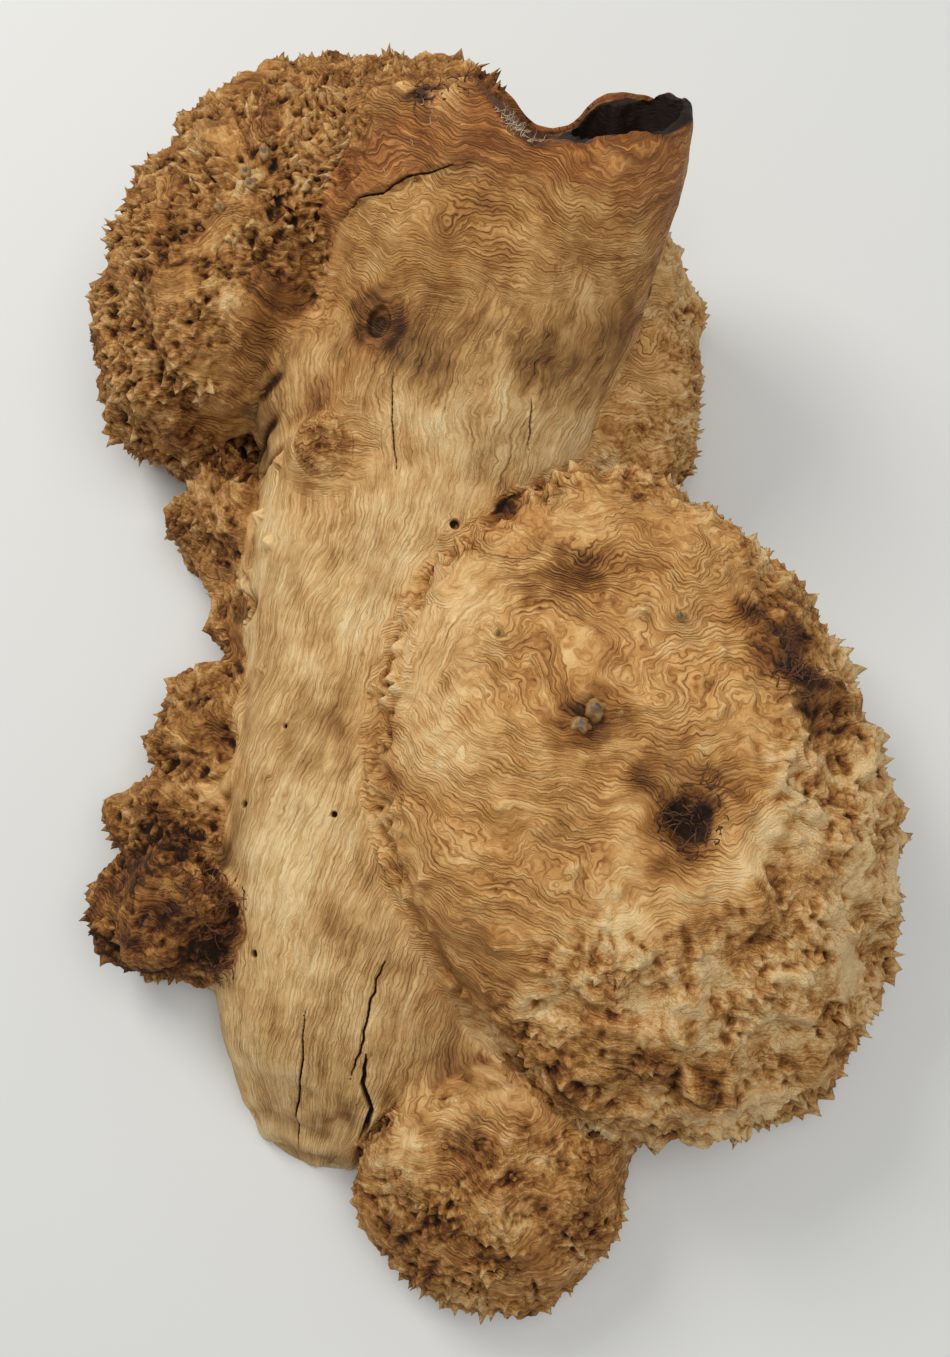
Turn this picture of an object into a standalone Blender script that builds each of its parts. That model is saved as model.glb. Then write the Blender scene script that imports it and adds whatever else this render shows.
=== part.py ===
"""A mallee burl cap: root burl sawn off flat behind, with its wild outer face left as it grew.

Metres, +Z up. The sawn face lies on Z = 0 and the origin is the middle of the cap's outline. +Y runs
along the old trunk, from its thin sawn end to the hollow stub. The cap is one piece of wood, so it is
one object: trunk wood and burls are fused, and the spines are sunk into what they grow from.
"""

import math
import random

import bpy
import bmesh
import numpy as np
from mathutils import Vector, noise

MM = 0.001
NAME = "burl_cap"

# The driving dimensions below are in millimetres, in a frame whose origin is on the trunk.
# A burl is a dome over a closed outline. The outline is given by its radii every 30 degrees,
# anticlockwise from +X, at the girth, where the burl is widest. A squareness under 1 makes the
# sides steeper and the top flatter than an ellipsoid's.
BURLS = {
    "crown": dict(
        middle=(-103, 190),
        radii=(92, 116, 124, 104, 84, 75, 80, 103, 119, 88, 74, 76),
        girth=46,
        top=128,
        top_shift=(8, -4),
        squareness=0.8,
    ),
    "dome": dict(
        middle=(76, -98),
        radii=(121, 122, 138, 155, 143, 126, 115, 110, 120, 144, 146, 133),
        girth=58,
        top=122,
        top_shift=(-22, 20),
        lean=(-0.24, 0.04),
        squareness=0.66,
    ),
    "foot": dict(
        middle=(7, -265),
        radii=(60, 65, 60, 54, 54, 57, 60, 56, 53, 50, 54, 58),
        girth=20,
        top=66,
        top_shift=(-4, 14),
        squareness=0.75,
    ),
    "shoulder": dict(
        middle=(66, 132),
        radii=(52, 58, 82, 88, 60, 48, 42, 45, 60, 78, 72, 52),
        girth=34,
        top=86,
        top_shift=(-18, -8),
        squareness=0.8,
    ),
    "fold": dict(
        middle=(-24, 206),
        radii=(62, 60, 62, 62, 66, 72, 72, 70, 62, 58, 58, 60),
        girth=74,
        top=158,
        top_shift=(12, -12),
        squareness=0.85,
    ),
    "neck": dict(
        middle=(-74, 112),
        radii=(60, 60, 62, 66, 60, 50, 46, 44, 46, 50, 56, 60),
        girth=40,
        top=106,
        top_shift=(10, 6),
        squareness=0.9,
    ),
    "fringe_top": dict(
        middle=(-126, 52),
        radii=(40, 34, 34, 38, 38, 33, 31, 25, 26, 34, 38, 40),
        girth=26,
        top=58,
        top_shift=(14, 0),
        squareness=0.9,
    ),
    "fringe_bud": dict(
        middle=(-114, 4),
        radii=(26, 24, 22, 20, 20, 20, 20, 20, 20, 20, 22, 26),
        girth=24,
        top=50,
        top_shift=(10, 0),
        squareness=0.9,
    ),
    "fringe_middle": dict(
        middle=(-124, -54),
        radii=(38, 38, 42, 38, 32, 30, 31, 33, 40, 42, 42, 40),
        girth=26,
        top=56,
        top_shift=(14, 0),
        squareness=0.9,
    ),
    "fringe_fan": dict(
        middle=(-144, -98),
        radii=(36, 32, 28, 24, 26, 29, 32, 27, 26, 26, 30, 34),
        girth=27,
        top=54,
        top_shift=(10, 0),
        squareness=0.9,
    ),
    "lump": dict(
        middle=(-142, -141),
        radii=(40, 30, 31, 32, 32, 33, 34, 33, 32, 32, 36, 42),
        girth=33,
        top=70,
        top_shift=(6, 4),
        squareness=0.8,
    ),
    "knob": dict(
        middle=(-70, 66),
        radii=(19, 19, 19, 20, 20, 19, 18, 18, 19, 20, 20, 19),
        girth=76,
        top=108,
        top_shift=(0, 0),
        squareness=1.0,
    ),
    "bed": dict(
        middle=(-8, -20),
        radii=(150, 118, 150, 210, 180, 126, 102, 130, 182, 236, 180, 150),
        girth=16,
        top=60,
        top_shift=(0, 0),
        squareness=0.8,
    ),
}
UNDERCUT = 2.6  # how far below the saw cut a burl would have closed, in girth heights

# The trunk and the stub that leaves it. Each station is X, Y, Z of the pith, then the half width
# across and the half height of the wood round it.
TRUNK = (
    (-72, -250, -18, 20, 16),
    (-68, -232, -6, 46, 32),
    (-56, -186, 6, 68, 60),
    (-44, -96, 12, 77, 74),
    (-38, -8, 16, 78, 76),
    (-28, 62, 22, 82, 80),
    (-12, 124, 26, 84, 80),
    (2, 190, 16, 82, 80),
    (10, 262, -4, 64, 52),
)
STUB = (
    (-36, -10, 4, 64, 54),
    (-26, 60, 26, 74, 68),
    (-6, 122, 62, 77, 68),
    (10, 172, 102, 79, 64),
    (22, 214, 142, 80, 58),
    (28, 240, 168, 78, 56),
)
LIMB_BLUNTNESS = 6  # the higher, the squarer a limb's two ends
LIMB_SQUARENESS = 0.86  # under 1, a limb's section is flatter on top than an ellipse

# The stub is broken off on a slant, and rotted hollow down its right side. A lip of shell stands
# up behind the hollow. X is across the break, and the second number is down it.
MOUTH = Vector((24, 178, 166))
MOUTH_FACES = Vector((-0.08, 0.78, 0.62)).normalized()
MOUTH_RIGHT = Vector((1, 0, 0.12)).normalized()
MOUTH_DOWN = MOUTH_FACES.cross(MOUTH_RIGHT)
MOUTH_BLOCK = (150, 150, 100)
MOUTH_BLOCK_LEFT = -28
MOUTH_GRID = 14
MOUTH_ROUGH = (3, 14)
TRIM = 2  # how much the break takes off the fused skin, to make its rim sharp
LIP_HEIGHT = 14
LIP_FROM = (8, 34)
LIP_DOWN = (8, 60)
EASE_HEIGHT = 28  # how far out the break runs on its left, into the fold
EASE_FROM = (4, -26)
HOLLOW = (67, 196, 132)
HOLLOW_AXIS = (0.14, 0.70, 0.70)
HOLLOW_HALF = (26, 30, 66)

# Knots and rot pits: X and Y of the middle, radius and depth.
PITS = (
    (47, -71, 14, 5),
    (89, -112, 18, 9),
    (-43, 116, 13, 4),
    (-113, 2, 11, 6),
    (-18, 196, 13, 8),
    (150, -34, 16, 6),
)

SAW_BLOCK = (900, 900, 300)
CENTRE = (4, -6)  # the middle of the finished outline, which becomes the origin

BODY_VOXEL = 4.0
BODY_SMOOTHING = 14
BODY_FACES = 3900

# Low swells of the whole surface, and the deeper lumps of the burls, as heights and widths.
SWELL_HEIGHT = 3.0
SWELL_WIDTH = 55.0
LUMP_HEIGHT = 5.0
LUMP_WIDTH = 24.0

# Spines: height, base radius and spacing on each burl, then how far they lean to its rim.
SPINES = {
    "crown": (8.0, 4.6, 14.0, 0.5),
    "foot": (7.0, 4.4, 13.0, 0.5),
    "shoulder": (7.0, 4.4, 14.5, 0.6),
    "fringe_top": (7.0, 4.4, 14.0, 0.6),
    "fringe_bud": (6.0, 4.0, 13.0, 0.6),
    "fringe_middle": (7.0, 4.4, 14.0, 0.6),
    "fringe_fan": (7.0, 4.4, 14.0, 0.6),
    "lump": (6.0, 4.4, 15.0, 0.4),
}
RIM_TOOTH = (10.0, 5.0, 13.0, 0.9)
RIM_FROM = 0.95  # the dome's teeth stand where its outline is at least this full
RIM_BAND = 26  # and this near the height of its girth
DOME_BUMP = (5.0, 5.5, 30.0, 0.2)
BUMP_FULLNESS = 0.85  # bumps keep inside this much of the dome's outline
BUMP_ABOVE = 60  # and above this height
ROUGH_FROM = (60, -110)  # the dome is lumpy beyond this point, to the lower right
ROUGH_WIDTH = 60
SPINE_SIDES = 3
SPINE_ROOT = 0.45  # the share of a spine that is sunk in the wood
SPINE_HEIGHT_SPREAD = (0.65, 1.25)
SPINE_GIRTH_SPREAD = (0.75, 1.2)
SPINE_WANDER = 0.3  # how far a spine's lean strays
CLEAR_OF_SAW = 7.0
SEED = 24

# A burl's level is about 1 on its skin. Spines, teeth and bumps stand where it is under these.
SPINE_LEVEL = 1.3
RIM_LEVEL = 1.35
BUMP_LEVEL = 1.2
LUMPS_FADE = (1.2, 1.5)  # the levels over which a burl's lumps die away
PIT_FADE = (0.25, 1.0)  # a pit is full depth at the first share of its radius, gone at the second
PIT_FACES_UP = 0.3  # pits are pressed only where the skin faces up at least this much
HOLLOW_ROUGH = (0.10, 1.7)  # share of its size by which the hollow's wall wavers, and how often

WOOD_COLOUR = (0.39, 0.22, 0.09, 1)
WOOD_ROUGHNESS = 0.75

SPHERE_SEGMENTS = 96
SPHERE_RINGS = 48
HOLLOW_SUBDIVISIONS = 3
LOOK_AHEAD = 0.02  # how far along a limb its heading is measured, in stations
TRIES_PER_SPOT = 6


def curve_value(before, here, there, after, t):
    """A smooth curve through here (t = 0) and there (t = 1)."""
    slope = 2 * before - 5 * here + 4 * there - after
    bend = -before + 3 * here - 3 * there + after
    return here + 0.5 * t * ((there - before) + t * (slope + t * bend))


def outline_radius(radii, angle):
    """The outline's radius at an angle, on a smooth closed curve through the radii."""
    count = len(radii)
    turn = angle / (2 * math.pi) * count % count
    start = int(turn)
    near = (radii[(start + k) % count] for k in (-1, 0, 1, 2))
    return curve_value(*near, turn - start)


def girth_height(burl, x, y):
    """Height of the burl's widest line, which may lean."""
    lean = burl.get("lean", (0, 0))
    return burl["girth"] + lean[0] * (x - burl["middle"][0]) + lean[1] * (y - burl["middle"][1])


def burl_point(burl, direction):
    """Where a point of the unit sphere goes on the burl."""
    x, y, z = direction
    flat = math.hypot(x, y)
    reach = outline_radius(burl["radii"], math.atan2(y, x)) * flat ** burl["squareness"]
    across = (x / flat, y / flat) if flat > 1e-6 else (0, 0)
    shift = max(z, 0) ** 1.5
    px = burl["middle"][0] + across[0] * reach + burl["top_shift"][0] * shift
    py = burl["middle"][1] + across[1] * reach + burl["top_shift"][1] * shift
    girth = girth_height(burl, px, py)
    rise = (burl["top"] - girth) * z if z > 0 else UNDERCUT * burl["girth"] * z
    return Vector((px, py, girth + rise))


def fullness(burl, point):
    """How far out a point lies in the burl's plan: 1 on its outline, less inside."""
    dx, dy = point[0] - burl["middle"][0], point[1] - burl["middle"][1]
    return math.hypot(dx, dy) / outline_radius(burl["radii"], math.atan2(dy, dx))


def level(burl, point):
    """About 1 on the burl's own skin, less inside it and more outside."""
    girth = girth_height(burl, point[0], point[1])
    above = point[2] - girth
    tall = burl["top"] - girth if above > 0 else UNDERCUT * burl["girth"]
    return fullness(burl, point) ** (2 / burl["squareness"]) + (above / tall) ** 2


def squared(share):
    return math.copysign(abs(share) ** LIMB_SQUARENESS, share)


def smooth_step(low, high, value):
    t = max(0.0, min(1.0, (value - low) / (high - low)))
    return t * t * (3 - 2 * t)


def limb_point(stations, direction):
    """Where a point of the unit sphere goes on a limb, whose pith runs through the stations."""
    x, y, z = direction
    along = (z + 1) / 2 * (len(stations) - 1)
    start = min(int(along), len(stations) - 2)
    picks = [max(0, min(len(stations) - 1, start + k)) for k in (-1, 0, 1, 2)]
    rows = [np.array(stations[k], float) for k in picks]
    here = curve_value(*rows, along - start)
    ahead = curve_value(*rows, along - start + LOOK_AHEAD)
    heading = Vector(ahead[:3] - here[:3]).normalized()
    side = heading.cross(Vector((0, 0, 1))).normalized()
    up = side.cross(heading)
    flat = math.hypot(x, y)
    size = (1 - abs(z) ** LIMB_BLUNTNESS) ** (1 / LIMB_BLUNTNESS)
    across, over = (squared(x / flat), squared(y / flat)) if flat > 1e-6 else (0, 0)
    return Vector(here[:3]) + side * (across * size * here[3]) + up * (over * size * here[4])


def mouth_height(right, down):
    """How far the break stands out from its plane."""
    lip = LIP_HEIGHT * smooth_step(*LIP_FROM, right) * smooth_step(*LIP_DOWN, down)
    ease = EASE_HEIGHT * smooth_step(*EASE_FROM, right)
    height, width = MOUTH_ROUGH
    return lip + ease + height * noise.noise(Vector((right, down, 0)) / width)


def stub_point(direction):
    """Where a point of the unit sphere goes on the stub, which stops at its mouth."""
    point = limb_point(STUB, direction)
    off = point - MOUTH
    beyond = off.dot(MOUTH_FACES) - mouth_height(off.dot(MOUTH_RIGHT), off.dot(MOUTH_DOWN))
    return point - MOUTH_FACES * max(0, beyond)


def add_stretched_sphere(target, place):
    """Adds a sphere whose points go where place() says."""
    made = bmesh.ops.create_uvsphere(
        target, u_segments=SPHERE_SEGMENTS, v_segments=SPHERE_RINGS, radius=1
    )
    for vert in made["verts"]:
        vert.co = place(vert.co) * MM


def collection(name):
    made = bpy.data.collections.new(name)
    bpy.context.scene.collection.children.link(made)
    return made


def object_from(work, name, home):
    """A new object in a collection that holds the bmesh, which is freed."""
    mesh = bpy.data.meshes.new(name)
    bmesh.ops.recalc_face_normals(work, faces=work.faces)
    work.to_mesh(mesh)
    work.free()
    made = bpy.data.objects.new(name, mesh)
    home.objects.link(made)
    return made


def apply_modifiers(obj):
    bpy.context.view_layer.update()
    graph = bpy.context.evaluated_depsgraph_get()
    mesh = bpy.data.meshes.new_from_object(obj.evaluated_get(graph))
    obj.modifiers.clear()
    obj.data = mesh


def fused_body(home):
    """Burls, trunk and stub as one closed skin, blended where they meet."""
    work = bmesh.new()
    for burl in BURLS.values():
        add_stretched_sphere(work, lambda way: burl_point(burl, way))
    add_stretched_sphere(work, lambda way: limb_point(TRUNK, way))
    add_stretched_sphere(work, stub_point)
    body = object_from(work, NAME, home)
    fuse = body.modifiers.new("fuse", "REMESH")
    fuse.mode = "VOXEL"
    fuse.voxel_size = BODY_VOXEL * MM
    blend = body.modifiers.new("blend", "SMOOTH")
    blend.iterations = BODY_SMOOTHING
    apply_modifiers(body)
    return body


def rough_share(point):
    """1 where a burl's skin is lumpy, 0 on trunk wood and on the dome's smooth part."""
    nearest = min(level(BURLS[name], point) for name in SPINES)
    on_dome = 1 - smooth_step(*LUMPS_FADE, level(BURLS["dome"], point))
    beyond = (point[0] - ROUGH_FROM[0] - (point[1] - ROUGH_FROM[1])) / ROUGH_WIDTH
    return max(1 - smooth_step(*LUMPS_FADE, nearest), on_dome * smooth_step(0, 1, beyond))


def pit_depth(point):
    """How deep the knots and rot pits go at a point."""
    depth = 0
    for x, y, radius, deep in PITS:
        away = math.hypot(point[0] - x, point[1] - y) / radius
        depth += deep * (1 - smooth_step(*PIT_FADE, away))
    return depth


def raise_relief(body):
    """Moves the skin in and out: low swells everywhere, lumps on the burls, and pits."""
    for vert in body.data.vertices:
        point = vert.co / MM
        swell = SWELL_HEIGHT * noise.noise(point / SWELL_WIDTH)
        lump = LUMP_HEIGHT * rough_share(point) * noise.noise(point / LUMP_WIDTH)
        pit = pit_depth(point) if vert.normal.z > PIT_FACES_UP else 0
        vert.co += vert.normal * (swell + lump - pit) * MM


def thin_out(body):
    """Brings the skin down to its number of faces."""
    thin = body.modifiers.new("thin", "DECIMATE")
    thin.ratio = BODY_FACES / (2 * len(body.data.polygons))
    apply_modifiers(body)


def boolean(body, operation, **settings):
    cut = body.modifiers.new(operation.lower(), "BOOLEAN")
    cut.operation = operation
    for key, value in settings.items():
        setattr(cut, key, value)
    apply_modifiers(body)


def cutter_mouth(home):
    """Breaks the stub off: a block whose near face has the shape of the break."""
    work = bmesh.new()
    bmesh.ops.create_cube(work, size=1)
    bmesh.ops.subdivide_edges(work, edges=work.edges, cuts=MOUTH_GRID, use_grid_fill=True)
    for vert in work.verts:
        right, down, out = (vert.co + Vector((0.5, 0, 0.5))) * Vector(MOUTH_BLOCK)
        right += MOUTH_BLOCK_LEFT
        if vert.co.z < 0:
            out += mouth_height(right, down) - TRIM
        place = MOUTH + MOUTH_RIGHT * right + MOUTH_DOWN * down + MOUTH_FACES * out
        vert.co = place * MM
    return object_from(work, "mouth", home)


def cutter_saw(home):
    """Everything behind the sawn face."""
    work = bmesh.new()
    bmesh.ops.create_cube(work, size=1)
    for vert in work.verts:
        vert.co = (vert.co - Vector((0, 0, 0.5))) * Vector(SAW_BLOCK) * MM
    return object_from(work, "saw", home)


def cutter_hollow(home):
    """The rotted hollow: a long rounded hole down the stub."""
    work = bmesh.new()
    bmesh.ops.create_icosphere(work, subdivisions=HOLLOW_SUBDIVISIONS, radius=1)
    share, often = HOLLOW_ROUGH
    for vert in work.verts:
        rough = 1 + share * noise.noise(vert.co * often)
        vert.co = vert.co * Vector(HOLLOW_HALF) * rough * MM
    hole = object_from(work, "hollow", home)
    hole.location = Vector(HOLLOW) * MM
    hole.rotation_mode = "QUATERNION"
    hole.rotation_quaternion = Vector(HOLLOW_AXIS).to_track_quat("Z", "Y")
    return hole


def spots(body, rng, spacing, wanted):
    """Points on the skin where wanted() holds, no two nearer than the spacing, with their normals."""
    mesh = body.data
    mesh.calc_loop_triangles()
    corners = [[mesh.vertices[k].co / MM for k in tri.vertices] for tri in mesh.loop_triangles]
    areas = [tri.area / MM**2 for tri in mesh.loop_triangles]
    tries = int(sum(areas) / spacing**2 * TRIES_PER_SPOT)
    kept, cells = [], {}
    for pick in rng.choices(range(len(corners)), weights=areas, k=tries):
        u, v = rng.random(), rng.random()
        if u + v > 1:
            u, v = 1 - u, 1 - v
        a, b, c = corners[pick]
        point = a + (b - a) * u + (c - a) * v
        if not wanted(point):
            continue
        cell = tuple(int(math.floor(k / spacing)) for k in point)
        around = [
            other
            for i in (-1, 0, 1)
            for j in (-1, 0, 1)
            for k in (-1, 0, 1)
            for other in cells.get((cell[0] + i, cell[1] + j, cell[2] + k), ())
        ]
        if all((other - point).length > spacing for other in around):
            cells.setdefault(cell, []).append(point)
            kept.append((point, mesh.loop_triangles[pick].normal.copy()))
    return kept


def add_spine(home, rng, point, normal, burl, shape):
    """One spine: a slim pyramid sunk into the skin, leaning to its burl's rim."""
    height, base, _, lean = shape
    height *= rng.uniform(*SPINE_HEIGHT_SPREAD)
    outward = Vector((point.x - burl["middle"][0], point.y - burl["middle"][1], 0)).normalized()
    wander = Vector((rng.uniform(-1, 1), rng.uniform(-1, 1), rng.uniform(-0.5, 1)))
    way = (normal + outward * lean * fullness(burl, point) + wander * SPINE_WANDER).normalized()
    whole = height / (1 - SPINE_ROOT)
    work = bmesh.new()
    bmesh.ops.create_cone(
        work,
        cap_ends=True,
        segments=SPINE_SIDES,
        radius1=base / (1 - SPINE_ROOT) * MM,
        radius2=0,
        depth=whole * MM,
    )
    for vert in work.verts:
        vert.co.z += (0.5 - SPINE_ROOT) * whole * MM
    spine = object_from(work, "spine", home)
    spine.location = point * MM
    spine.rotation_mode = "QUATERNION"
    turn = Vector((0, 0, 1)).rotation_difference(way)
    spine.rotation_quaternion = turn
    spine.scale = (rng.uniform(*SPINE_GIRTH_SPREAD), rng.uniform(*SPINE_GIRTH_SPREAD), 1)


def grow_spines(body, home):
    """Spines over the burls, teeth round the dome's rim and a few bumps on its top."""
    rng = random.Random(SEED)
    dome = BURLS["dome"]

    def at_rim(point):
        off_girth = abs(point.z - girth_height(dome, point.x, point.y))
        near = level(dome, point) < RIM_LEVEL and point.z > CLEAR_OF_SAW
        return near and off_girth < RIM_BAND and fullness(dome, point) > RIM_FROM

    def on_top(point):
        inside = fullness(dome, point) < BUMP_FULLNESS
        return inside and level(dome, point) < BUMP_LEVEL and point.z > BUMP_ABOVE

    for name, shape in SPINES.items():
        burl = BURLS[name]

        def on_burl(point):
            return level(burl, point) < SPINE_LEVEL and point.z > CLEAR_OF_SAW

        for point, normal in spots(body, rng, shape[2], on_burl):
            add_spine(home, rng, point, normal, burl, shape)
    for shape, wanted in ((RIM_TOOTH, at_rim), (DOME_BUMP, on_top)):
        for point, normal in spots(body, rng, shape[2], wanted):
            add_spine(home, rng, point, normal, dome, shape)


def wood():
    """Dry burl wood with the bark off."""
    made = bpy.data.materials.new("burl_wood")
    made.use_nodes = True
    finish = made.node_tree.nodes["Principled BSDF"]
    finish.inputs["Base Color"].default_value = WOOD_COLOUR
    finish.inputs["Roughness"].default_value = WOOD_ROUGHNESS
    finish.inputs["Metallic"].default_value = 0.0
    return made


def main():
    for obj in list(bpy.data.objects):
        bpy.data.objects.remove(obj)
    home = collection("mallee_burl_cap")
    cutters = collection("cutters")
    body = fused_body(home)
    raise_relief(body)
    thin_out(body)
    print("body:", len(body.data.polygons), "faces")
    boolean(body, "DIFFERENCE", object=cutter_mouth(cutters))
    boolean(body, "DIFFERENCE", object=cutter_hollow(cutters))
    spines = collection("spines")
    grow_spines(body, spines)
    print("spines:", len(spines.objects))
    boolean(body, "UNION", operand_type="COLLECTION", collection=spines, solver="MANIFOLD")
    for spine in list(spines.objects):
        bpy.data.objects.remove(spine)
    boolean(body, "DIFFERENCE", object=cutter_saw(cutters), solver="MANIFOLD")
    for vert in body.data.vertices:
        vert.co -= Vector((*CENTRE, 0)) * MM
    for cutter in cutters.objects:
        cutter.hide_render = True
        cutter.display_type = "WIRE"
    body.data.materials.append(wood())
    body.data.shade_flat()
    print("whole:", 2 * len(body.data.vertices) - 4, "triangles")


main()
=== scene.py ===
# %% [markdown]
# # A mallee burl cap
# Mallee eucalypts keep a woody swelling at the root. A cap is a slice off the outside of one, sawn
# flat behind, with the bark blasted away. It is one piece of wood: a smooth pale band of old trunk,
# a leaning hollow stub, and burls whose skin is thick with spines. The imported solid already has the
# right size and place. This script grows the same form again, much finer, and finishes its wood.

import math
import random

import bmesh
import bpy
import numpy as np
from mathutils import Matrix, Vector, kdtree, noise


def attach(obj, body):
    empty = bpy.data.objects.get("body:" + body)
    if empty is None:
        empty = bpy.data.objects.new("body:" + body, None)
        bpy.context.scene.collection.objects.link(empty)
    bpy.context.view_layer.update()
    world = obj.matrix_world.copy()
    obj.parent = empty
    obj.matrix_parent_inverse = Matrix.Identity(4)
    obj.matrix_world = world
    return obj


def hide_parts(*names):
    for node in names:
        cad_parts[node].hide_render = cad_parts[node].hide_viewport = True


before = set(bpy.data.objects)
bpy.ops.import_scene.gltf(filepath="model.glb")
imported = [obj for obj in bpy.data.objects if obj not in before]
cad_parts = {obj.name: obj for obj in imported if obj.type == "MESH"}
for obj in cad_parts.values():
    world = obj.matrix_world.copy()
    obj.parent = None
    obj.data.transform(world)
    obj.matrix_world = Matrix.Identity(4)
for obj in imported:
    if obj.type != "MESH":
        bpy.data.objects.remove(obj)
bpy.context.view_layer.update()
MM = 0.001

# %% [markdown]
# ## Camera, floor and light
# The photograph looks down on the cap from the thin end of its trunk, about 15 degrees off straight
# down, with a phone's wide lens from arm's length. A wide lens close by makes high parts larger, so
# the distance matters as much as the angle. The light is an even ceiling and a softer window at the
# upper left, bright enough to model the spines and weak enough to leave the shadows open.

# %% Camera
CAMERA_RISE = math.radians(75)
CAMERA_AWAY = 0.620
CAMERA_LOOKS_AT = Vector((-0.004, -0.030, 0.060))

camera = bpy.data.objects.new("camera", bpy.data.cameras.new("camera"))
bpy.context.scene.collection.objects.link(camera)
back = Vector((0, -math.cos(CAMERA_RISE), math.sin(CAMERA_RISE)))
camera.location = CAMERA_LOOKS_AT + back * CAMERA_AWAY
camera.rotation_euler = (-back).to_track_quat("-Z", "Y").to_euler()
camera.data.lens = 35
camera.data.sensor_width = 36
camera.data.clip_start = 0.02
bpy.context.scene.camera = camera
bpy.context.scene.view_settings.view_transform = "Standard"
print("camera at", list(np.round(camera.location, 3)))

# %% Floor and lights
FLOOR_HALF = 3


def area_light(name, place, aim, size, watts, colour):
    light = bpy.data.lights.new(name, "AREA")
    light.shape = "SQUARE"
    light.size = size
    light.energy = watts
    light.color = colour
    lamp = bpy.data.objects.new(name, light)
    bpy.context.scene.collection.objects.link(lamp)
    lamp.location = place
    lamp.rotation_euler = (Vector(aim) - Vector(place)).to_track_quat("-Z", "Y").to_euler()


area_light("window", (-0.9, 0.9, 1.3), (0, 0, 0.05), 0.7, 16, (1.0, 0.98, 0.95))
area_light("ceiling", (0.35, -0.1, 2.1), (0, 0, 0.05), 1.6, 24, (1.0, 0.99, 0.97))
world = bpy.data.worlds.new("room")
world.use_nodes = True
world.node_tree.nodes["Background"].inputs["Color"].default_value = (0.94, 0.97, 1.0, 1)
world.node_tree.nodes["Background"].inputs["Strength"].default_value = 0.35
bpy.context.scene.world = world

work = bmesh.new()
bmesh.ops.create_grid(work, x_segments=1, y_segments=1, size=FLOOR_HALF)
floor = bpy.data.objects.new("floor", bpy.data.meshes.new("floor"))
work.to_mesh(floor.data)
work.free()
bpy.context.scene.collection.objects.link(floor)

# %% [markdown]
# ## The form
# A burl is a dome over a closed outline, so each one is a sphere stretched over its outline. The
# trunk and its stub are spheres too, drawn out along the pith. All numbers are millimetres from a
# point on the trunk, and `CENTRE` moves the finished wood onto the frame's origin.

# %% Burls
# A burl is widest at its girth. Its radii are given every 30 degrees, anticlockwise from +X. Its
# girth can lean, which gives it more height on one side.
BURLS = {
    "crown": dict(
        middle=(-103, 190), girth=46, top=128, top_shift=(8, -4), squareness=0.8,
        radii=(92, 116, 124, 104, 84, 75, 80, 103, 119, 88, 74, 76),
    ),
    "dome": dict(
        middle=(76, -98), girth=58, top=122, top_shift=(-22, 20), squareness=0.66,
        lean=(-0.24, 0.04),
        radii=(121, 122, 138, 155, 143, 126, 115, 110, 120, 144, 146, 133),
    ),
    "foot": dict(
        middle=(7, -265), girth=20, top=66, top_shift=(-4, 14), squareness=0.75,
        radii=(60, 65, 60, 54, 54, 57, 60, 56, 53, 50, 54, 58),
    ),
    "shoulder": dict(
        middle=(66, 132), girth=34, top=86, top_shift=(-18, -8), squareness=0.8,
        radii=(52, 58, 82, 88, 60, 48, 42, 45, 60, 78, 72, 52),
    ),
    "fold": dict(
        middle=(-24, 206), girth=74, top=158, top_shift=(12, -12), squareness=0.85,
        radii=(62, 60, 62, 62, 66, 72, 72, 70, 62, 58, 58, 60),
    ),
    "neck": dict(
        middle=(-74, 112), girth=40, top=106, top_shift=(10, 6), squareness=0.9,
        radii=(60, 60, 62, 66, 60, 50, 46, 44, 46, 50, 56, 60),
    ),
    "fringe_top": dict(
        middle=(-126, 52), girth=26, top=58, top_shift=(14, 0), squareness=0.9,
        radii=(40, 34, 34, 38, 38, 33, 31, 25, 26, 34, 38, 40),
    ),
    "fringe_bud": dict(
        middle=(-114, 4), girth=24, top=50, top_shift=(10, 0), squareness=0.9,
        radii=(26, 24, 22, 20, 20, 20, 20, 20, 20, 20, 22, 26),
    ),
    "fringe_middle": dict(
        middle=(-124, -54), girth=26, top=56, top_shift=(14, 0), squareness=0.9,
        radii=(38, 38, 42, 38, 32, 30, 31, 33, 40, 42, 42, 40),
    ),
    "fringe_fan": dict(
        middle=(-144, -98), girth=27, top=54, top_shift=(10, 0), squareness=0.9,
        radii=(36, 32, 28, 24, 26, 29, 32, 27, 26, 26, 30, 34),
    ),
    "lump": dict(
        middle=(-142, -141), girth=33, top=70, top_shift=(6, 4), squareness=0.8,
        radii=(40, 30, 31, 32, 32, 33, 34, 33, 32, 32, 36, 42),
    ),
    "knob": dict(
        middle=(-70, 66), girth=76, top=108, top_shift=(0, 0), squareness=1.0,
        radii=(19, 19, 19, 20, 20, 19, 18, 18, 19, 20, 20, 19),
    ),
    "bed": dict(
        middle=(-8, -20), girth=16, top=60, top_shift=(0, 0), squareness=0.8,
        radii=(150, 118, 150, 210, 180, 126, 102, 130, 182, 236, 180, 150),
    ),
}
UNDERCUT = 2.6
print(len(BURLS), "burls")

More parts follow.
